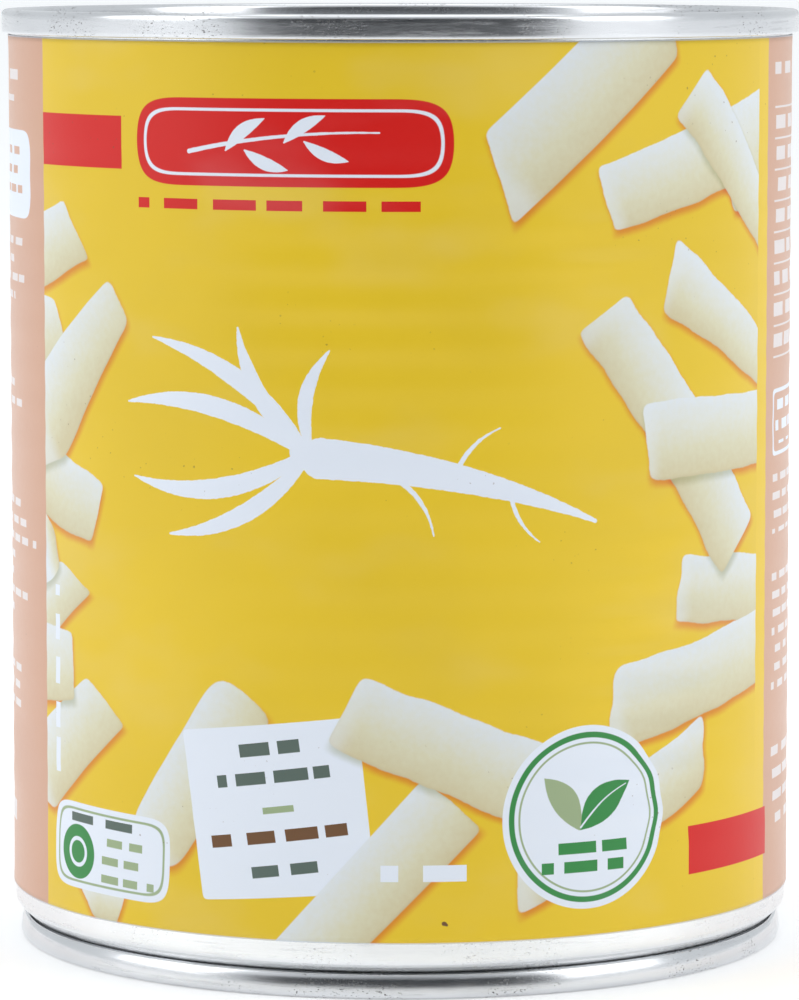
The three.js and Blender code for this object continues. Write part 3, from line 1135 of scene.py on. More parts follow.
    def _stroke(self) -> bpy.types.NodeTree:
        """A brush stroke or leaf along a bent line, or a disc where the line has no length.

        With t the share along the line and hump = 4 t (1 - t), the middle is bent sideways by
        Bend times hump, and the half width runs from Width Start to Width End with Belly times
        hump added. Noise roughens the edge.

        Returns:
            The group.
        """
        inputs = {"Color": Kind.COLOUR, "Place": Kind.VECTOR, "Start": Kind.VECTOR}
        inputs |= {"Forward": Kind.VECTOR, "Sideways": Kind.VECTOR, "Length": Kind.NUMBER}
        inputs |= {name: Kind.NUMBER for name in ("Bend", "Width Start", "Width End", "Belly")}
        inputs |= {"Line Width": Kind.NUMBER, "Rough": Kind.NUMBER, "Ink": Kind.COLOUR}
        inputs |= {"Grain": Kind.NUMBER}
        group = NodeGroup("Brush stroke", inputs, {"Color": Kind.COLOUR})
        source, place = group.inputs, self._place_after_colour(group)
        away = group.vector("SUBTRACT", place, source["Start"])
        forward = group.vector("DOT_PRODUCT", away, source["Forward"])
        share = group.math("DIVIDE", forward, source["Length"])
        inside = group.math("MINIMUM", group.math("MAXIMUM", share, 0.0), 1.0)
        hump = group.math("MULTIPLY", inside, group.math("SUBTRACT", 1.0, inside))
        hump = group.math("MULTIPLY", hump, 4.0)
        aside = group.vector("DOT_PRODUCT", away, source["Sideways"])
        aside = group.math("SUBTRACT", aside, group.math("MULTIPLY", source["Bend"], hump))
        past = group.math("MULTIPLY", group.math("SUBTRACT", share, inside), source["Length"])
        reach = group.vector("LENGTH", group.combine(aside, past, 0.0))
        grow = group.math("SUBTRACT", source["Width End"], source["Width Start"])
        width = group.math("MULTIPLY_ADD", grow, inside, source["Width Start"])
        width = group.math("MULTIPLY_ADD", source["Belly"], hump, width)
        gap = group.math("SUBTRACT", reach, width)
        gap = group.math("MULTIPLY_ADD", source["Grain"], source["Rough"], gap)
        half = group.math("MULTIPLY", source["Line Width"], 0.5)
        gap = group.math("SUBTRACT", group.math("ABSOLUTE", group.math("ADD", gap, half)), half)
        mask = group.step(gap, -INK_EDGE, INK_EDGE, 1.0, 0.0)
        return group.give(Color=group.mix(mask, source["Color"], source["Ink"]))

    def _greeked_lines(self) -> bpy.types.NodeTree:
        """Rows of plain dashes where small print would stand.

        u runs along the rows and v across them, from the corner. A row shows over Letter Height
        of each Pitch. Words are cells of u, broken where a random share of each ends, and each
        row stops at a random share of the block's length. A word that this leaves shorter than
        a fifth of its cell is left out.

        Returns:
            The group.
        """
        inputs = {"Color": Kind.COLOUR, "Place": Kind.VECTOR, "Corner": Kind.VECTOR}
        inputs |= {"Right": Kind.VECTOR, "Down": Kind.VECTOR, "Size": Kind.VECTOR}
        inputs |= {name: Kind.NUMBER for name in ("Pitch", "Letter Height", "Word", "Ragged")}
        inputs |= {"Ink": Kind.COLOUR}
        group = NodeGroup("Greeked lines", inputs, {"Color": Kind.COLOUR})
        source, place = group.inputs, self._place_after_colour(group)
        away = group.vector("SUBTRACT", place, source["Corner"])
        right = group.vector("DOT_PRODUCT", away, source["Right"])
        down = group.vector("DOT_PRODUCT", away, source["Down"])
        wide, high, _ = group.parts(source["Size"])
        row = group.math("FLOOR", group.math("DIVIDE", down, source["Pitch"]))
        fall = group.math("SUBTRACT", down, group.math("MULTIPLY", row, source["Pitch"]))
        start = group.random(group.combine(row, 7.0, wide))
        cell = group.math("ADD", group.math("DIVIDE", right, source["Word"]), start)
        word = group.math("FLOOR", cell)
        within = group.math("SUBTRACT", cell, word)
        end = group.math("MULTIPLY_ADD", group.random(group.combine(word, row, wide)), 0.32, 0.55)
        stop = group.math("MULTIPLY", group.random(group.combine(row, 3.0, high)), source["Ragged"])
        stop = group.math("MULTIPLY", wide, group.math("SUBTRACT", 1.0, stop))
        begin = group.math("MAXIMUM", word, start)
        last = group.math("ADD", group.math("DIVIDE", stop, source["Word"]), start)
        finish = group.math("MINIMUM", group.math("ADD", word, end), last)
        shown = group.math("SUBTRACT", finish, begin)
        under = group.math("SUBTRACT", fall, source["Letter Height"])
        mask = group.step(under, -0.05, 0.05, 1.0, 0.0)
        for test, value, limit in (
            ("GREATER_THAN", shown, SHORTEST_WORD),
            ("LESS_THAN", within, end),
            ("GREATER_THAN", right, 0.0),
            ("LESS_THAN", right, stop),
            ("GREATER_THAN", down, 0.0),
            ("LESS_THAN", down, high),
        ):
            mask = group.math("MULTIPLY", mask, group.math(test, value, limit))
        return group.give(Color=group.mix(mask, source["Color"], source["Ink"]))

    def _paper_wear(self) -> bpy.types.NodeTree:
        """Handling marks of a coated paper label.

        Rub is the peaks of a slow noise, stretched sideways. Speck is the highest peaks of a fine
        noise where the slow one is low.

        Returns:
            The group.
        """
        results = {name: Kind.NUMBER for name in ("Rub", "Speck")}
        group = NodeGroup("Paper wear", {"Place": Kind.VECTOR}, results)
        place = group.inputs["Place"]
        slow = group.noise(group.vector("MULTIPLY", place, (0.5, 1.0, 1.0)), 0.07, 3.0)
        speck = group.step(group.noise(place, 2.1, 0.0), 0.80, 0.84)
        speck = group.math("MULTIPLY", speck, group.step(slow, 0.45, 0.36))
        return group.give(Rub=group.step(slow, 0.5, 0.72), Speck=speck)


@dataclass
class Press:
    """Prints shapes onto a window of the label one after another.

    place is where a shape is read, grain is a fine noise about 0, and colour is the colour so
    far.
    """

    graph: Graph
    groups: PrintGroups
    window: Window
    place: bpy.types.NodeSocket
    grain: bpy.types.NodeSocket
    colour: Value

    def _print(self, group: bpy.types.NodeTree, **values: Value) -> None:
        """Adds a layer: the group takes the colour so far and gives the new one."""
        made = self.graph.use(group, Color=self.colour, Place=self.place, **values)
        self.colour = made["Color"]

    def _sides(self, corners: tuple[Point, ...]) -> dict[str, Value]:
        """The side inputs for a shape's corners."""
        return {f"Side_{n}": side for n, side in enumerate(side_vectors(corners), start=1)}

    def patch(
        self, corners: tuple[Point, ...], ink: Colour, rounding: float = 0.0, line: float = SOLID
    ) -> None:
        """Prints a four-sided patch, or a line along its inner edge.

        Args:
            corners: its corners.
            ink: its colour.
            rounding: how far the corners are rounded; about 2.5 times their radius.
            line: the line's width, if it is not filled.
        """
        if self.window.shows(np.array(corners)):
            sides = self._sides(corners)
            self._print(self.groups.patch, Rounding=rounding, Line_Width=line, Ink=ink, **sides)

    def root(self, root: "PrintedRoot") -> None:
        """Prints a piece of root.

        Args:
            root: the piece.
        """
        if not self.window.shows(np.array(root.corners)):
            return
        across, along, end = root.directions()
        self._print(
            self.groups.root,
            Grain=self.grain,
            Shadow_Shift=SHADOW_SHIFT,
            Rounding=root.rounding,
            Across=across,
            Along=along,
            End=end,
            **self._sides(root.corners),
        )

    def stroke(self, stroke: "Stroke") -> None:
        """Prints a brush stroke, a leaf or a disc.

        Args:
            stroke: the stroke.
        """
        start, end = np.array(stroke.start, dtype=float), np.array(stroke.end, dtype=float)
        reach = max(stroke.widths) + stroke.belly + abs(stroke.bend)
        around = np.array([start - reach, start + reach, end - reach, end + reach])
        if not self.window.shows(around):
            return
        length = max(1e-3, float(np.linalg.norm(end - start)))
        forward = (end - start) / length
        self._print(
            self.groups.stroke,
            Start=(*stroke.start, 1.0),
            Forward=(float(forward[0]), float(forward[1]), 0.0),
            Sideways=(float(-forward[1]), float(forward[0]), 0.0),
            Length=length,
            Bend=stroke.bend,
            Width_Start=stroke.widths[0],
            Width_End=stroke.widths[1],
            Belly=stroke.belly,
            Line_Width=stroke.line,
            Rough=stroke.rough,
            Grain=self.grain,
            Ink=stroke.ink,
        )

    def lines(self, block: "GreekedBlock") -> None:
        """Prints a block of greeked lines.

        Args:
            block: the block.
        """
        turn = math.radians(block.turn)
        right = np.array([math.cos(turn), math.sin(turn)]) * block.size[0]
        down = np.array([math.sin(turn), -math.cos(turn)]) * block.size[1]
        corner = np.array(block.corner)
        around = np.array([corner, corner + right, corner + down, corner + right + down])
        if not self.window.shows(around):
            return
        self._print(
            self.groups.lines,
            Corner=(*block.corner, 1.0),
            Right=(math.cos(turn), math.sin(turn), 0.0),
            Down=(math.sin(turn), -math.cos(turn), 0.0),
            Size=(*block.size, 0.0),
            Pitch=block.pitch,
            Letter_Height=block.letter,
            Word=block.word,
            Ragged=block.ragged,
            Ink=block.ink,
        )


@dataclass(frozen=True)
class PrintedRoot:
    """A cut piece of root in the label's picture, by its corners in millimetres."""

    corners: tuple[Point, ...]
    rounding: float = 1.6

    def directions(self) -> tuple[tuple[float, ...], tuple[float, ...], float]:
        """The vectors whose dot products with a place run across and along the piece.

        The long direction is that of the side pair with the longer sides, turned to run away
        from the piece's cut end, its left one. The first vector runs from 0 at the piece's upper
        left side to 1 at its lower right one, the second in millimetres from the axes' origin.

        Returns:
            Both vectors, and how far the cut end lies before the origin along the second.
        """
        points = np.array(self.corners[:4], dtype=float)
        longs = (points[1] - points[0]) - (points[3] - points[2])
        shorts = (points[2] - points[1]) - (points[0] - points[3])
        along = max(longs, shorts, key=lambda side: float(np.linalg.norm(side)))
        along = along / np.linalg.norm(along) * (1.0 if along[0] > 0 else -1.0)
        across = np.array([along[1], -along[0]])
        if across @ np.array([0.6, -0.8]) < 0:
            across = -across
        spans = np.sort(points @ across)
        low, wide = spans[:2].mean(), spans[2:].mean() - spans[:2].mean()
        end = float(-np.sort(points @ along)[:2].mean())
        return (*(across / wide).tolist(), float(-low / wide)), (*along.tolist(), 0.0), end


@dataclass(frozen=True)
class Stroke:
    """A brush stroke; widths are its half widths at the start and the end."""

    start: Point
    end: Point
    widths: Point
    ink: Colour
    belly: float = 0.0
    bend: float = 0.0
    line: float = SOLID
    rough: float = 0.25


@dataclass(frozen=True)
class GreekedBlock:
    """A block of greeked lines hung from its upper left corner, turned by turn degrees."""

    corner: Point
    size: Point
    pitch: float
    letter: float
    word: float
    ink: Colour
    ragged: float = 0.3
    turn: float = 0.0


# The picture's pieces of root, from the lowest layer to the highest. Those at the yellow panel's
# edges run on past it and are cut off there.
ROOTS_RIGHT = (
    PrintedRoot(((44, 106), (60, 110.3), (60, 96), (48, 94))),
    PrintedRoot(((24.8, 100.3), (44, 106), (50, 98), (26.9, 92.2)), 1.2),
    PrintedRoot(((42.3, 112), (60, 92.7), (60, 84.2), (36.3, 105.9))),
    PrintedRoot(((36.6, 91.2), (60, 75.5), (60, 69.9), (34.4, 82.3)), 1.8),
    PrintedRoot(((10.1, 104.4), (33.5, 125.5), (36.9, 113.4), (13.8, 93.6)), 1.2),
    PrintedRoot(((38.2, 52.6), (60, 50.8), (60, 41.9), (37, 44.6))),
    PrintedRoot(((22, 80.3), (29, 84.9), (53, 56), (45.6, 49.4))),
    PrintedRoot(((31.2, 71.5), (60, 71.8), (60, 62.6), (32.3, 61.9)), 2.4),
    PrintedRoot(((27.6, 39.8), (60, 44.9), (60, 36.2), (26.6, 29.2)), 2.4),
    PrintedRoot(((42, 32.5), (42, 23.4), (14.5, 10.2), (14.2, 18.7))),
)
ROOTS_LEFT = (
    PrintedRoot(((-60, 91.8), (-48.8, 95.5), (-43.3, 88.3), (-60, 82.3)), 1.2),
    PrintedRoot(((-60, 83.5), (-51, 83.2), (-48, 76.2), (-60, 73))),
    PrintedRoot(((-56, 67.5), (-40.6, 60.8), (-43, 53.6), (-60, 57.5))),
    PrintedRoot(((-62, 69.2), (-39.4, 86.2), (-36.2, 80.9), (-48.3, 63.9), (-62, 60))),
    PrintedRoot(((-49.8, 51), (-43, 47.6), (-56, 38.4), (-60, 45)), 1.2),
    PrintedRoot(((-58, 58.5), (-51.4, 54.6), (-50, 50.2), (-52, 48.2), (-60, 46)), 1.2),
    PrintedRoot(((-60, 26.8), (-44.1, 37), (-37, 31.6), (-52, 19.4), (-60, 22)), 1.2),
    PrintedRoot(((-58, 43), (-47.6, 41.8), (-46.6, 34), (-60, 31.8)), 1.2),
    PrintedRoot(((-36.4, 19.3), (-22.8, 39.4), (-15, 34), (-29.5, 13.8)), 5.0),
    PrintedRoot(((-47, 12), (-36.5, 12), (-38.8, 6.4), (-43.2, 7.1)), 1.0),
)
ROOTS_OVER_TAG = (
    PrintedRoot(((-17.5, 4.6), (2.6, 27), (10, 21), (-8, 2.7)), 1.6),
    PrintedRoot(((-4.5, 39.6), (20.2, 29.8), (17, 20.4), (-9.1, 31.2)), 1.8),
)

# A hand-brushed salsify plant: one long root with rootlets and a tuft of narrow leaves.
PLANT = (
    Stroke((-9.5, 65.6), (24.5, 57.6), (2.5, 0.22), WHITE, 0.25, 1.5),
    Stroke((-9.6, 65.6), (-12.2, 66.3), (2.4, 1.2), WHITE),
    Stroke((-11.8, 66.4), (-36, 71.5), (0.6, 0.12), WHITE, 0.85, -2.6),
    Stroke((-11.8, 65.8), (-35, 62.5), (0.6, 0.12), WHITE, 0.85, 2.6),
    Stroke((-11.6, 65.2), (-29.5, 55.8), (0.6, 0.12), WHITE, 0.75, 2.2),
    Stroke((-11.6, 66.8), (-32, 79.5), (0.6, 0.12), WHITE, 0.8, -2.4),
    Stroke((-11.4, 67), (-20, 81), (0.6, 0.12), WHITE, 0.75, 1.8),
    Stroke((-11, 67), (-8.5, 78.5), (0.5, 0.1), WHITE, 0.6, 1.6),
    Stroke((-1, 63.6), (4, 56.4), (0.4, 0.1), WHITE, 0.0, 1.0),
    Stroke((6.5, 63.4), (12, 69.2), (0.38, 0.1), WHITE, 0.0, 0.9),
    Stroke((13.5, 60.6), (17, 55.4), (0.3, 0.1), WHITE, 0.0, -0.6),
)
# The sprig in the middle of the blank name plate.
SPRIG = (
    Stroke((-26.5, 102), (-2.5, 104.4), (0.28, 0.1), WHITE, 0.0, 0.7, rough=0.1),
    Stroke((-21.5, 102.2), (-16.5, 106), (0.1, 0.05), WHITE, 0.75, 0.5, rough=0.1),
    Stroke((-19, 102.2), (-13.6, 99.9), (0.1, 0.05), WHITE, 0.7, -0.4, rough=0.1),
    Stroke((-14, 103.2), (-9, 106.4), (0.1, 0.05), WHITE, 0.7, 0.4, rough=0.1),
    Stroke((-11.5, 103.3), (-6.2, 101), (0.1, 0.05), WHITE, 0.65, -0.4, rough=0.1),
)
# The two leaves in the round seal, and the vein of the right one.
SEAL_LEAVES = (
    Stroke((22.6, 20.2), (29.4, 25.6), (0.15, 0.1), GREEN, 1.9, 0.5, rough=0.1),
    Stroke((22.4, 20.2), (17.8, 26.6), (0.15, 0.1), SOFT_GREEN, 1.6, -0.5, rough=0.1),
    Stroke((22.6, 20.4), (29.0, 25.3), (0.12, 0.06), WHITE, 0.0, 0.5, rough=0.05),
)


@dataclass(frozen=True)
class LabelPaper:
    """The label's printed, coated paper in one window, with its wear."""

    window: Window
    rough: float = 0.31
    gloss: float = 0.3  # level of the coating's reflection
    edge: float = 0.22  # how far the cut edge's white shows, in millimetres

    def material(self, name: str, groups: PrintGroups) -> bpy.types.Material:
        """Makes the finish.

        Args:
            name: the material's name.
            groups: the printing node groups.

        Returns:
            The material.
        """
        material, graph, shader = new_material(name)
        chart = graph.node("ShaderNodeUVMap", uv_map="Print").outputs["UV"]
        chart = graph.vector("MULTIPLY", chart, (PRINT_SCALE, PRINT_SCALE, 0.0))
        across, up, _ = graph.parts(chart)
        place = graph.combine(across, up, 1.0)
        grain = graph.math("SUBTRACT", graph.noise(place, 1.3, 3.0), 0.5)
        press = Press(graph, groups, self.window, place, grain, CLAY)
        if self.window.is_front:
            drift = graph.math("MULTIPLY_ADD", graph.noise(place, 0.13, 1.0), 1.1, -0.55)
            fine = graph.math("MULTIPLY_ADD", grain, 0.18, drift)
            press.place = graph.vector("ADD", place, graph.combine(fine, fine, 0.0))
            cloud = graph.step(graph.noise(place, 0.035, 2.0), 0.3, 0.7)
            press.colour = graph.mix(cloud, YELLOW, tuple(0.94 * part for part in YELLOW))
            for root in (*ROOTS_RIGHT, *ROOTS_LEFT):
                press.root(root)
            self._print_tag_and_seals(press, place)
            self._print_edges(press)
            self._print_name_area(press)
        else:
            self._print_small_print(press)
        wear = graph.use(groups.wear, Place=place)
        colour = graph.mix(graph.math("MULTIPLY", wear["Rub"], 0.05), press.colour, WHITE)
        colour = graph.mix(graph.math("MULTIPLY", wear["Speck"], 0.5), colour, BROWN)
        rim = graph.math("ABSOLUTE", graph.math("SUBTRACT", up, (LABEL_LOW + LABEL_HIGH) / 2))
        half = (LABEL_HIGH - LABEL_LOW) / 2
        rim = graph.step(rim, half - self.edge, half - 0.1, 0.0, 0.75)
        graph.feed(shader["Base Color"], graph.mix(rim, colour, WHITE))
        rough = graph.math("MULTIPLY_ADD", grain, 0.1, self.rough)
        graph.feed(shader["Roughness"], graph.math("MULTIPLY_ADD", wear["Rub"], 0.1, rough))
        graph.feed(shader["Normal"], graph.bump(grain, 0.006))
        shader["Specular IOR Level"].default_value = self.gloss
        return material

    def _print_tag_and_seals(self, press: Press, place: bpy.types.NodeSocket) -> None:
        """Prints the blank tag, the roots that lie over it, the small panel and the round seal.

        Args:
            press: the press.
            place: the place without the hand-cut drift.
        """
        hand_place = press.place
        press.place = place
        press.patch(((-27.8, 32.0), (-5.2, 34.6), (-2.9, 13.4), (-24.9, 11.4)), WHITE, 1.0)
        for left, top, wide, tall, ink in (
            (-22.0, 30.4, 12.0, 1.6, GREY),
            (-23.0, 26.7, 14.5, 1.5, GREY),
            (-18.0, 23.0, 7.0, 0.8, SOFT_GREEN),
            (-23.8, 19.3, 17.5, 1.5, BROWN),
            (-20.0, 15.6, 10.0, 1.4, GREY),
        ):
            press.lines(GreekedBlock((left, top), (wide, 3.0), 3.4, tall, 5.0, ink, 0.0, 8.0))
        press.place = hand_place
        for root in ROOTS_OVER_TAG:
            press.root(root)
        press.place = place
        press.patch(((-51.4, 21.2), (-29.6, 20.6), (-30.0, 10.1), (-51.8, 10.4)), WHITE, 5.0)
        inset = ((-50.6, 20.5), (-30.4, 19.9), (-30.8, 10.9), (-51.0, 11.1))
        press.patch(inset, SOFT_GREEN, 4.0, 0.3)
        press.lines(GreekedBlock((-48.5, 19.8), (15.5, 1.5), 2.0, 1.1, 7.0, GREY, 0.0, -1.5))
        press.lines(GreekedBlock((-41.6, 17.3), (10, 6.2), 2.3, 1.0, 4.0, SOFT_GREEN, 0.3, -1.5))
        for middle, beside, radius, ink, line in (
            ((-46.3, 14.9), (-46.2, 14.9), 3.4, GREEN, SOLID),
            ((-46.3, 14.9), (-46.2, 14.9), 1.9, WHITE, 0.5),
            ((23.6, 21.6), (23.65, 21.6), 11.2, WHITE, SOLID),
            ((23.6, 21.6), (23.65, 21.6), 10.4, GREEN, 0.7),
            ((23.6, 21.6), (23.65, 21.6), 9.2, SOFT_GREEN, 0.25),
        ):
            press.stroke(Stroke(middle, beside, (radius, radius), ink, line=line, rough=0.0))
        for leaf in SEAL_LEAVES:
            press.stroke(leaf)
        press.lines(GreekedBlock((17.4, 18.6), (12.4, 4.4), 2.3, 1.4, 6.0, GREEN, 0.15))

    def _print_edges(self, press: Press) -> None:
        """Prints the plain yellow strip and the clay panels' edges over the picture's edges.

        Args:
            press: the press.
        """
        press.patch(rectangle(54.5, 58, 0, 125), YELLOW)
        press.patch(rectangle(57.5, 190, 0, 125), CLAY)
        press.patch(rectangle(-190, -54, 0, 125), CLAY)
        press.patch(rectangle(-53.99, -37, 99.6, 106), RED)
        press.patch(rectangle(39.4, 58.2, 12.9, 18.9), RED)
        press.lines(GreekedBlock((-51.4, 24), (23.7, 1.7), 2.2, 1.1, 5.5, WHITE, 0.0, 90.0))

    def _print_small_print(self, press: Press) -> None:
        """Prints the blocks of greeked lines, frames and stripes on the clay-coloured part.

        Args:
            press: the press.
        """
        for corner, size, pitch, letter, word in (
            ((-99, 111), (42, 4), 3.2, 1.3, 9),
            ((-99, 90), (41, 8), 2.3, 0.95, 5),
            ((-99, 72), (41, 4.5), 2.3, 0.95, 5),
            ((-99, 57), (42, 15), 2.3, 0.95, 5),
            ((-99, 36), (42, 6), 2.3, 0.95, 5),
            ((-99, 18), (40, 6), 6.0, 2.6, 9),
            ((60.2, 112), (36, 3), 3.4, 1.5, 8),
            ((60.4, 105.4), (39, 31), 3.9, 1.7, 7),
            ((60.4, 60.5), (40, 7.5), 2.3, 0.95, 5),
            ((60.4, 48), (40, 16), 2.3, 0.95, 5),
            ((60.4, 26), (38, 11), 2.9, 1.2, 6),
            ((106, 104), (46, 20), 2.3, 0.95, 5),
            ((106, 76), (46, 30), 2.3, 0.95, 5),
            ((-148, 108), (44, 9), 4.6, 2.0, 12),
            ((-148, 94), (44, 46), 2.3, 0.95, 5),
            ((-148, 40), (44, 14), 2.3, 0.95, 5),
        ):
            press.lines(GreekedBlock(corner, size, pitch, letter, word, SMALL_PRINT))
        for low in np.arange(75.1, 107, 3.9).tolist():
            press.patch(rectangle(60.3, 101, low, low + 0.25), SMALL_PRINT)
        press.patch(rectangle(60.2, 82, 62.8, 71.2), WHITE, 1.5, 0.5)
        press.lines(GreekedBlock((61.6, 69.8), (18, 5.6), 2.6, 1.3, 5, WHITE))
        press.patch(rectangle(-84, -58.6, 92.5, 103.5), WHITE, 4.0)
        press.lines(GreekedBlock((-81.5, 101.4), (20, 7), 2.4, 1.0, 5, CLAY))
        press.patch(rectangle(112, 140, 12, 36), WHITE, 1.5)
        press.lines(GreekedBlock((114.5, 14.5), (18.5, 23), 0.9, 0.42, 500, GREY, 0.0, 90.0))

    def _print_name_area(self, press: Press) -> None:
        """Prints the blank name plate, its line, the brushed plant and the weight's dashes.

        Args:
            press: the press.
        """
        press.patch(rectangle(-34.6, 6.6, 97.9, 108.4), RED, 8.0)
        press.patch(rectangle(-33.4, 5.4, 99.1, 107.2), WHITE, 6.0, 0.35)
        press.lines(GreekedBlock((-34.2, 96.3), (39.8, 1.6), 3.0, 1.25, 7.0, RED, 0.0))
        for stroke in (*SPRIG, *PLANT):
            press.stroke(stroke)
        press.lines(GreekedBlock((-2.4, 16.6), (10.8, 3), 5.0, 2.0, 8.0, WHITE, 0.0))
        press.stroke(Stroke((5.2, 9.5), (5.6, 9.3), (0.25, 0.15), BROWN, rough=0.5))


# ---------------------------------------------------------------- label pieces


def shell_sides(outer: np.ndarray, inner: np.ndarray) -> dict[str, np.ndarray]:
    """The six sides of a thin closed patch bent round the can.

    Args:
        outer: its outer face as (places round the can, heights, 3), both growing.
        inner: its inner face, likewise.

    Returns:
        Grids named for the sides, with faces outwards; they meet along their edges.
    """
    return {
        "outer": outer,
        "inner": inner[:, ::-1],
        "low": np.stack([inner[:, 0], outer[:, 0]], axis=1),
        "high": np.stack([outer[:, -1], inner[:, -1]], axis=1),
        "start": np.stack([inner[0], outer[0]]),
        "end": np.stack([outer[-1], inner[-1]]),
    }


def bent_grid(angle: np.ndarray, radius: np.ndarray, height: np.ndarray) -> np.ndarray:
    """Points at (radius cos a, radius sin a, z) for each angle a and height z.

    Args:
        angle: the angles, in radians.
        radius: the radius at each angle and height.
        height: the heights.

    Returns:
        The points, (angles, heights, 3).
    """
    turn = angle[:, None]
    high = np.broadcast_to(height, radius.shape)
    return np.stack([radius * np.cos(turn), radius * np.sin(turn), high], axis=-1)


# Where handling has pressed the label onto the beads: the depth's share, then the middle and
# half width round the can, then those upwards.
DENTED = (
    (0.95, 33.0, 10.0, 37.0, 17.0),
    (0.7, 24.0, 8.0, 89.5, 5.0),
    (0.3, -8.0, 14.0, 84.0, 9.0),
    (0.6, -104.0, 18.0, 55.0, 26.0),
    (0.5, 118.0, 22.0, 70.0, 22.0),
)


@dataclass
class PaperLabel:
    """The printed paper label. It is wrapped round the beads and laps its own start at the back.

    start and sweep are angles in degrees, anticlockwise from +X, so that the lap is at +Y.
    """

    beads: TinBody
    radius: float = 49.76
    paper: float = 0.1
    start: float = 90.0
    sweep: float = 370.0
    lap_lift: float = 0.19
    dent: float = 0.52
    cell: Point = (1.12, 0.78)  # the grid's largest cell, round the can and upwards
    flare: float = 0.05
    wave: float = 0.02

    def dents(self, across: np.ndarray, height: np.ndarray) -> np.ndarray:
        """How far the paper follows the beads' troughs: a few handled patches, as bells.

        Args:
            across: distances round the can.
            height: heights.

        Returns:
            The depth at each place.
        """
        pressed = np.full(np.broadcast(across, height).shape, 0.1)
        for depth, side, wide, level, tall in DENTED:
            pressed += depth * bell(across, side, wide) * bell(height, level, tall)
        return self.dent * np.clip(pressed, 0.0, 1.0) * self.beads.trough(height)

    def surface(self, angle: np.ndarray, height: np.ndarray) -> np.ndarray:
        """The outer radius over angles and heights.

        It is the radius, lifted over the lap, less the dents, with slow waves and slightly
        flared, uneven edges.

        Args:
            angle: the angles, in radians.
            height: the heights.

        Returns:
            The radius, (angles, heights).
        """
        across = self.across(angle)[:, None]
        tall = height[None, :]
        lap = self.lap_lift * ease(np.degrees(angle), self.start + 353, self.start + 359.5)
        rims = bell(tall, LABEL_LOW, 1.3) + bell(tall, LABEL_HIGH, 1.3)
        edge = uneven_ring(angle, 21, range(3, 24))[:, None] + 1.0
        slow = uneven_ring(angle, 22, range(2, 7))[:, None] * np.sin(tall / 17.0)
        once = ease(angle, math.radians(self.start), math.radians(self.start + 12))
        once = once * ease(-angle, -math.radians(self.start + 358), -math.radians(self.start + 346))
        waves = (self.flare * rims * edge + self.wave * (slow + 1.0)) * once[:, None]
        return self.radius + lap[:, None] + waves - self.dents(across, tall)

    def across(self, angle: np.ndarray) -> np.ndarray:
        """Distance round the can from the middle of the front, in millimetres."""
        return self.radius * (angle - FRONT_ANGLE)

    def ends(self) -> list[float]:
        """The distances round the can of the label's start and end."""
        return self.across(np.radians([self.start, self.start + self.sweep])).tolist()

    def windows(self) -> list[Window]:
        """The label's windows: four by three on the front, and four on the clay-coloured rest.

        Returns:
            The windows, in the order of their materials.
        """
        first, last = self.ends()
        wide = [Window(first, -103.0, is_front=False), Window(-103.0, -57.0, is_front=False)]
        wide += [Window(60.0, 103.0, is_front=False), Window(103.0, last, is_front=False)]
        for side in zip(FRONT_ACROSS, FRONT_ACROSS[1:]):
            wide += [Window(*side, *tall) for tall in zip(FRONT_UP, FRONT_UP[1:])]
        return wide

    def build(
        self, bare: bpy.types.Material, printed: list[bpy.types.Material]
    ) -> bpy.types.Object:
        """Builds the label with two flat maps.

        Print holds (s, z) over 100. OFBake lays the front, the two back parts and the inner side
        out in one square, the front largest.

        Args:
            bare: the paper of the inner side and the cut edges.
            printed: the paper of each window.

        Returns:
            The piece.
        """
        windows = self.windows()
        cuts = sorted({edge for window in windows for edge in (window.left, window.right)})
        across = fill_in(np.array([[cut, 0.0] for cut in cuts]), self.cell[0])[:, 0]
        angle = across / self.radius + FRONT_ANGLE
        height = fill_in(np.array([[0.0, cut] for cut in FRONT_UP]), self.cell[1])[:, 1]
        radius = self.surface(angle, height)
        outer = bent_grid(angle, radius, height)
        sides = shell_sides(outer, bent_grid(angle, radius - self.paper, height))
        chart = np.stack(np.broadcast_arrays(across[:, None], height[None, :]), axis=-1)
        chart = chart / PRINT_SCALE
        sheets = []
        for number, window in enumerate(windows, start=1):
            rows = slice(*self._reach(across, window.left, window.right))
            columns = slice(*self._reach(height, window.low, window.high))
            bake = self._room(across[rows], height[columns])
            maps = {"Print": chart[rows, columns], "OFBake": bake}
            sheets.append(Sheet(outer[rows, columns], maps, number))
        for name, room in (
            ("inner", (0.73, 1.0, 0.0, 0.655)),
            ("low", (0.0, 1.0, 0.660, 0.664)),
            ("high", (0.0, 1.0, 0.670, 0.674)),
            ("start", (0.705, 0.709, 0.0, 0.655)),
            ("end", (0.715, 0.719, 0.0, 0.655)),
        ):
            rows, columns = sides[name].shape[:2]
            wide = np.linspace(room[0], room[1], rows)[:, None]
            tall = np.linspace(room[2], room[3], columns)[None, :]
            bake = np.stack(np.broadcast_arrays(wide, tall), axis=-1)
            sheets.append(Sheet(sides[name], {"Print": np.zeros_like(bake), "OFBake": bake}))
        piece = build_piece("paper_label", sheets)
        settle(piece, Slot.LABEL, "label", bare, *printed)
        return piece

    @staticmethod
    def _reach(line: np.ndarray, low: float, high: float) -> tuple[int, int]:
        """The slice of a sorted line's numbers from `low` to `high`."""
        return int(np.searchsorted(line, low - 1e-6)), int(np.searchsorted(line, high + 1e-6))

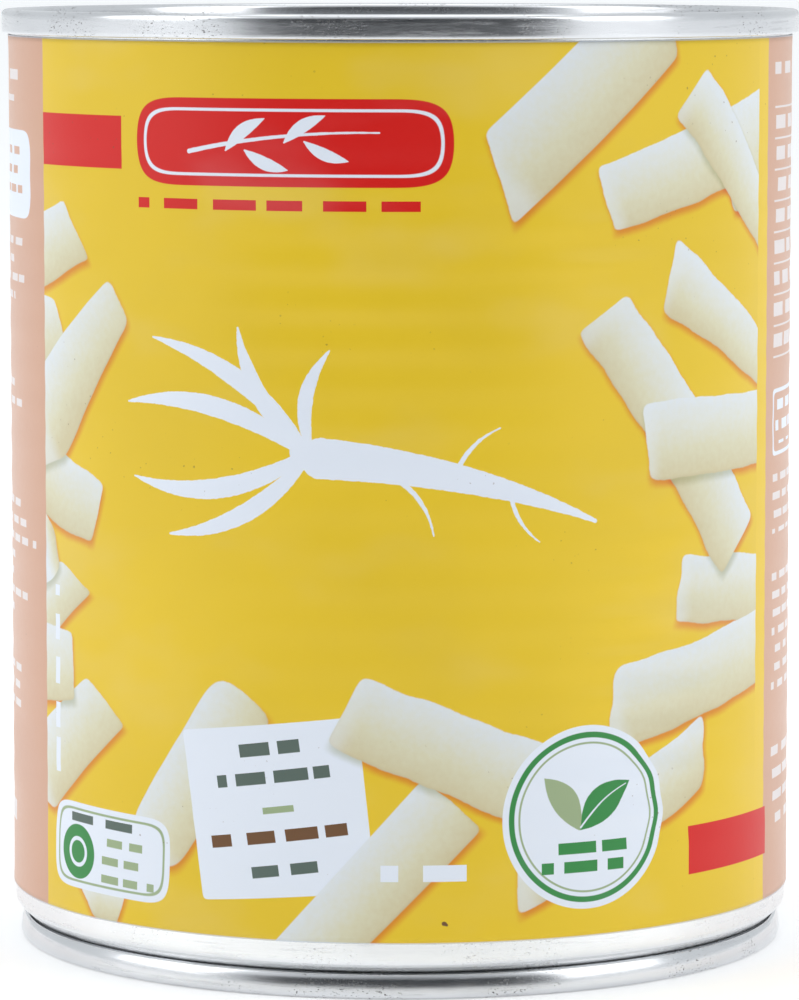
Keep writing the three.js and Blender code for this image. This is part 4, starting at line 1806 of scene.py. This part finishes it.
    def _room(self, across: np.ndarray, height: np.ndarray) -> np.ndarray:
        """Places on the OFBake map for places on the outer face, by straight scaling.

        Args:
            across: distances round the can.
            height: heights.

        Returns:
            The places, (distances, heights, 2).
        """
        ends = self.ends()
        if across[-1] <= FRONT_ACROSS[0]:
            reach, room = (ends[0], FRONT_ACROSS[0]), (0.0, 0.495, 0.685, 1.0)
        elif across[0] >= FRONT_ACROSS[-1]:
            reach, room = (FRONT_ACROSS[-1], ends[1]), (0.505, 1.0, 0.685, 1.0)
        else:
            reach, room = (FRONT_ACROSS[0], FRONT_ACROSS[-1]), (0.0, 0.70, 0.0, 0.655)
        wide = np.interp(across, reach, room[:2])[:, None]
        tall = np.interp(height, (LABEL_LOW, LABEL_HIGH), room[2:])[None, :]
        return np.stack(np.broadcast_arrays(wide, tall), axis=-1)


@dataclass
class GlueStrip:
    """A thin upright strip of glue behind the label's start or under its lap."""

    name: str
    node: str
    inner_radius: float
    thickness: float
    reach: tuple[float, float]  # degrees, anticlockwise from +X
    margin: float = 2.0

    def build(self, finish: bpy.types.Material) -> bpy.types.Object:
        """Builds the strip: two bent faces with wavy long edges, closed all round.

        Args:
            finish: the glue.

        Returns:
            The piece.
        """
        height = np.linspace(LABEL_LOW + self.margin, LABEL_HIGH - self.margin, 60)
        angle = np.radians(np.linspace(*self.reach, 10))
        inner = np.full((angle.size, height.size), self.inner_radius)
        outer = inner + self.thickness * (0.93 + 0.07 * np.sin(height / 1.7))[None, :]
        sides = shell_sides(bent_grid(angle, outer, height), bent_grid(angle, inner, height))
        piece = build_piece(self.name, [Sheet(points) for points in sides.values()])
        settle(piece, Slot.GLUE, self.node, finish)
        return piece


# ---------------------------------------------------------------- contents


@dataclass
class PackedRoot:
    """One peeled, cut root standing in the can; its size is its CAD node's box."""

    number: int
    taper: float = 0.1
    edge: float = 0.9
    fill: float = 0.98
    columns: int = 33

    def build(self, finish: bpy.types.Material) -> bpy.types.Object:
        """Builds the root.

        A straight tapered profile with rounded cut edges is turned about its axis. Peeling
        leaves it uneven: the radius is less by a few percent of itself times a slow ring wave
        that also changes along it.

        Args:
            finish: the root flesh.

        Returns:
            The piece.
        """
        node = f"salsify_root_{self.number:02d}"
        low, high = (np.array(corner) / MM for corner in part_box(node))
        middle = (low + high) / 2
        thick = self.fill * float(np.min(high[:2] - low[:2])) / 2
        radii = (thick, thick * (1 - self.taper))
        if self.number % 2 == 0:
            radii = radii[::-1]
        corners = np.array([[0, low[2]], [radii[0], low[2]], [radii[1], high[2]], [0, high[2]]])
        path = fill_in(rounded_path(corners, np.array([0, self.edge, self.edge, 0]), 0.4), 2.0)
        angle = np.linspace(0.0, 2 * math.pi, self.columns)
        wave = uneven_ring(angle, 100 + self.number, range(2, 6))
        twist = np.cos(path[:, 1, None] / 9.0 + self.number + wave * 2.0)
        ripple = 0.03 * path[:, 0, None] * (0.6 * wave + 0.4 * twist - 1.0)
        sheet = revolve(path, ripple)
        sheet.points[..., :2] += middle[:2]
        piece = build_piece(f"peeled_root_{self.number:02d}", [sheet])
        settle(piece, Slot.FLESH, node, finish)
        return piece


# ---------------------------------------------------------------- studio


@dataclass
class Studio:
    """A pale floor, soft lights at both sides and a long lens in front of the can."""

    distance: float = 0.6844
    eye: float = 0.12812
    tilt: float = 6.06
    lens: float = 192.8
    sky: Colour = (0.93, 0.97, 1.0)
    floor_size: float = 24.0
    floor_glow: float = 0.27

    def build(self) -> None:
        """Builds the whole studio."""
        self._camera()
        self._floor()
        self._dark_card()
        self._sky()
        bpy.context.scene.view_settings.view_transform = "Standard"
        for name, place, size, power in (
            ("softbox_left", (-1.3, -0.35, 0.75), (1.0, 1.3), 5.6),
            ("softbox_right", (1.3, -0.6, 0.75), (1.0, 1.3), 5.6),
            ("softbox_top", (0.0, 0.1, 1.7), (1.4, 1.4), 4.8),
        ):
            self._softbox(name, place, size, power)

    def _camera(self) -> None:
        """Adds the camera: in front, a little above the can's top, tilted down."""
        camera = bpy.data.cameras.new("camera")
        camera.lens = self.lens
        camera.clip_start, camera.clip_end = 0.01, 100.0
        holder = bpy.data.objects.new("camera", camera)
        holder.location = (-0.0001, -self.distance, self.eye)
        holder.rotation_euler = (math.radians(90 - self.tilt), 0.0, 0.0)
        bpy.context.scene.collection.objects.link(holder)
        bpy.context.scene.camera = holder

    def _flat(self, name: str, corner: Point3, right: Point3, up: Point3) -> bpy.types.Object:
        """A flat sheet from a corner (metres) along two edges.

        Args:
            name: its name.
            corner: the corner.
            right: the first edge.
            up: the second edge.

        Returns:
            The sheet.
        """
        share = np.linspace(0.0, 1.0, 9)
        wide, tall = share[:, None, None] * np.array(right), share[None, :, None] * np.array(up)
        flat = build_piece(name, [Sheet((np.array(corner) + wide + tall) / MM)])
        return flat

    def _floor(self) -> None:
        """Adds the pale floor, with a very faint mottle."""
        size = self.floor_size
        corner = (-size / 2, -size / 2, 0.0)
        floor = self._flat("floor", corner, (size, 0.0, 0.0), (0.0, size, 0.0))
        material, graph, shader = new_material("pale_floor")
        mottle = graph.noise(graph.object_place(), 0.02, 3.0)
        graph.feed(shader["Base Color"], graph.mix(mottle, (0.86, 0.87, 0.88), (0.90, 0.90, 0.90)))
        graph.feed(shader["Roughness"], graph.math("MULTIPLY_ADD", mottle, 0.1, 0.55))
        shader["Emission Color"].default_value = (1.0, 1.0, 1.0, 1.0)
        shader["Emission Strength"].default_value = self.floor_glow
        floor.data.materials.append(material)

    def _dark_card(self) -> None:
        """Adds the dark side of the room behind the camera, which only reflections see."""
        card = self._flat("dark_card", (-1.1, -0.8, 0.0), (2.2, 0.0, 0.0), (0.0, 0.0, 0.9))
        material, graph, shader = new_material("dark_room")
        across, _, up = graph.parts(graph.object_place())
        side = graph.step(graph.math("ABSOLUTE", across), 500.0, 1050.0, 1.0, 0.0)
        side = graph.math("MULTIPLY", side, graph.step(up, 260.0, 640.0, 1.0, 0.0))
        graph.feed(shader["Alpha"], side)
        shader["Base Color"].default_value = (0.035, 0.037, 0.04, 1.0)
        shader["Roughness"].default_value = 0.9
        card.data.materials.append(material)
        card.visible_camera = False

    def _sky(self) -> None:
        """Adds the soft surroundings: bright all round, dimmer behind the camera."""
        world = bpy.data.worlds.new("soft_room")
        world.use_nodes = True
        graph = Graph(world.node_tree)
        direction = graph.node("ShaderNodeTexCoord").outputs["Generated"]
        ahead = graph.vector("DOT_PRODUCT", direction, (0.0, -1.0, 0.0))
        strength = graph.step(ahead, 0.55, 0.95, 0.82, 0.33)
        seen = graph.node("ShaderNodeLightPath").outputs["Is Camera Ray"]
        strength = graph.math("MAXIMUM", strength, seen)
        background = world.node_tree.nodes["Background"]
        background.inputs["Color"].default_value = (*self.sky, 1.0)
        graph.feed(background.inputs["Strength"], strength)
        bpy.context.scene.world = world

    def _softbox(self, name: str, place: Point3, size: Point, power: float) -> None:
        """Adds a rectangular light aimed at the can's middle.

        Args:
            name: its name.
            place: its middle, in metres.
            size: its width and height.
            power: its power in watts.
        """
        light = bpy.data.lights.new(name, "AREA")
        light.shape = "RECTANGLE"
        light.size, light.size_y = size
        light.energy = power
        box = bpy.data.objects.new(name, light)
        box.location = place
        aim = Vector((0.0, 0.0, 0.06)) - Vector(place)
        box.rotation_euler = aim.to_track_quat("-Z", "Y").to_euler()
        bpy.context.scene.collection.objects.link(box)


def main() -> None:
    """Builds the can piece by piece around the CAD frame."""
    logging.basicConfig(level=logging.INFO, format="%(name)s: %(message)s")
    height = float(CAD_BOX[1][2]) / MM
    wear = tin_wear_group()
    bright, dull = (0.86, 0.87, 0.88), (0.34, 0.33, 0.32)
    body_tin = Tinplate("body_tinplate", bright, dull, 0.24, 0.4, 0.5, weld=0.6)
    rolled, pitted = (0.72, 0.73, 0.75), (0.13, 0.125, 0.12)
    end_tin = Tinplate("end_tinplate", rolled, pitted, 0.19, 0.9, 0.8)
    compound = SoftFilling("sealing_compound", (0.36, 0.34, 0.27), (0.50, 0.47, 0.38), 0.65, 0.8)
    glue = SoftFilling("label_glue", (0.52, 0.40, 0.20), (0.66, 0.54, 0.32), 0.35, 2.5)
    bare_paper = SoftFilling("bare_label_paper", (0.66, 0.63, 0.56), (0.74, 0.72, 0.66), 0.7, 0.6)
    top, bottom = DoubleSeam(wall=49.6), DoubleSeam(wall=47.9, body_hook_length=1.5)
    body = TinBody(height, top, bottom)
    body.build(body_tin.material(wear))
    end_finish, compound_finish = end_tin.material(wear), compound.material()
    for side, seam in ((EndSide.TOP, top), (EndSide.BOTTOM, bottom)):
        end = StampedEnd(side, height, seam)
        end.build(end_finish)
        end.build_compound(compound_finish)
    groups = PrintGroups()
    label = PaperLabel(body)
    printed = [
        LabelPaper(window).material(f"printed_paper_{number:02d}", groups)
        for number, window in enumerate(label.windows(), start=1)
    ]
    label.build(bare_paper.material(), printed)
    glue_finish = glue.material()
    GlueStrip("lap_glue_strip", "label_lap_glue", 49.785, 0.045, (91.0, 99.0)).build(glue_finish)
    pickup = GlueStrip("pickup_glue_strip", "label_pickup_glue", 49.61, 0.035, (91.0, 97.0))
    pickup.build(glue_finish)
    flesh = RootFlesh().material()
    for number in range(1, ROOT_COUNT + 1):
        PackedRoot(number).build(flesh)
    Studio().build()


if __name__ == "__main__":
    main()
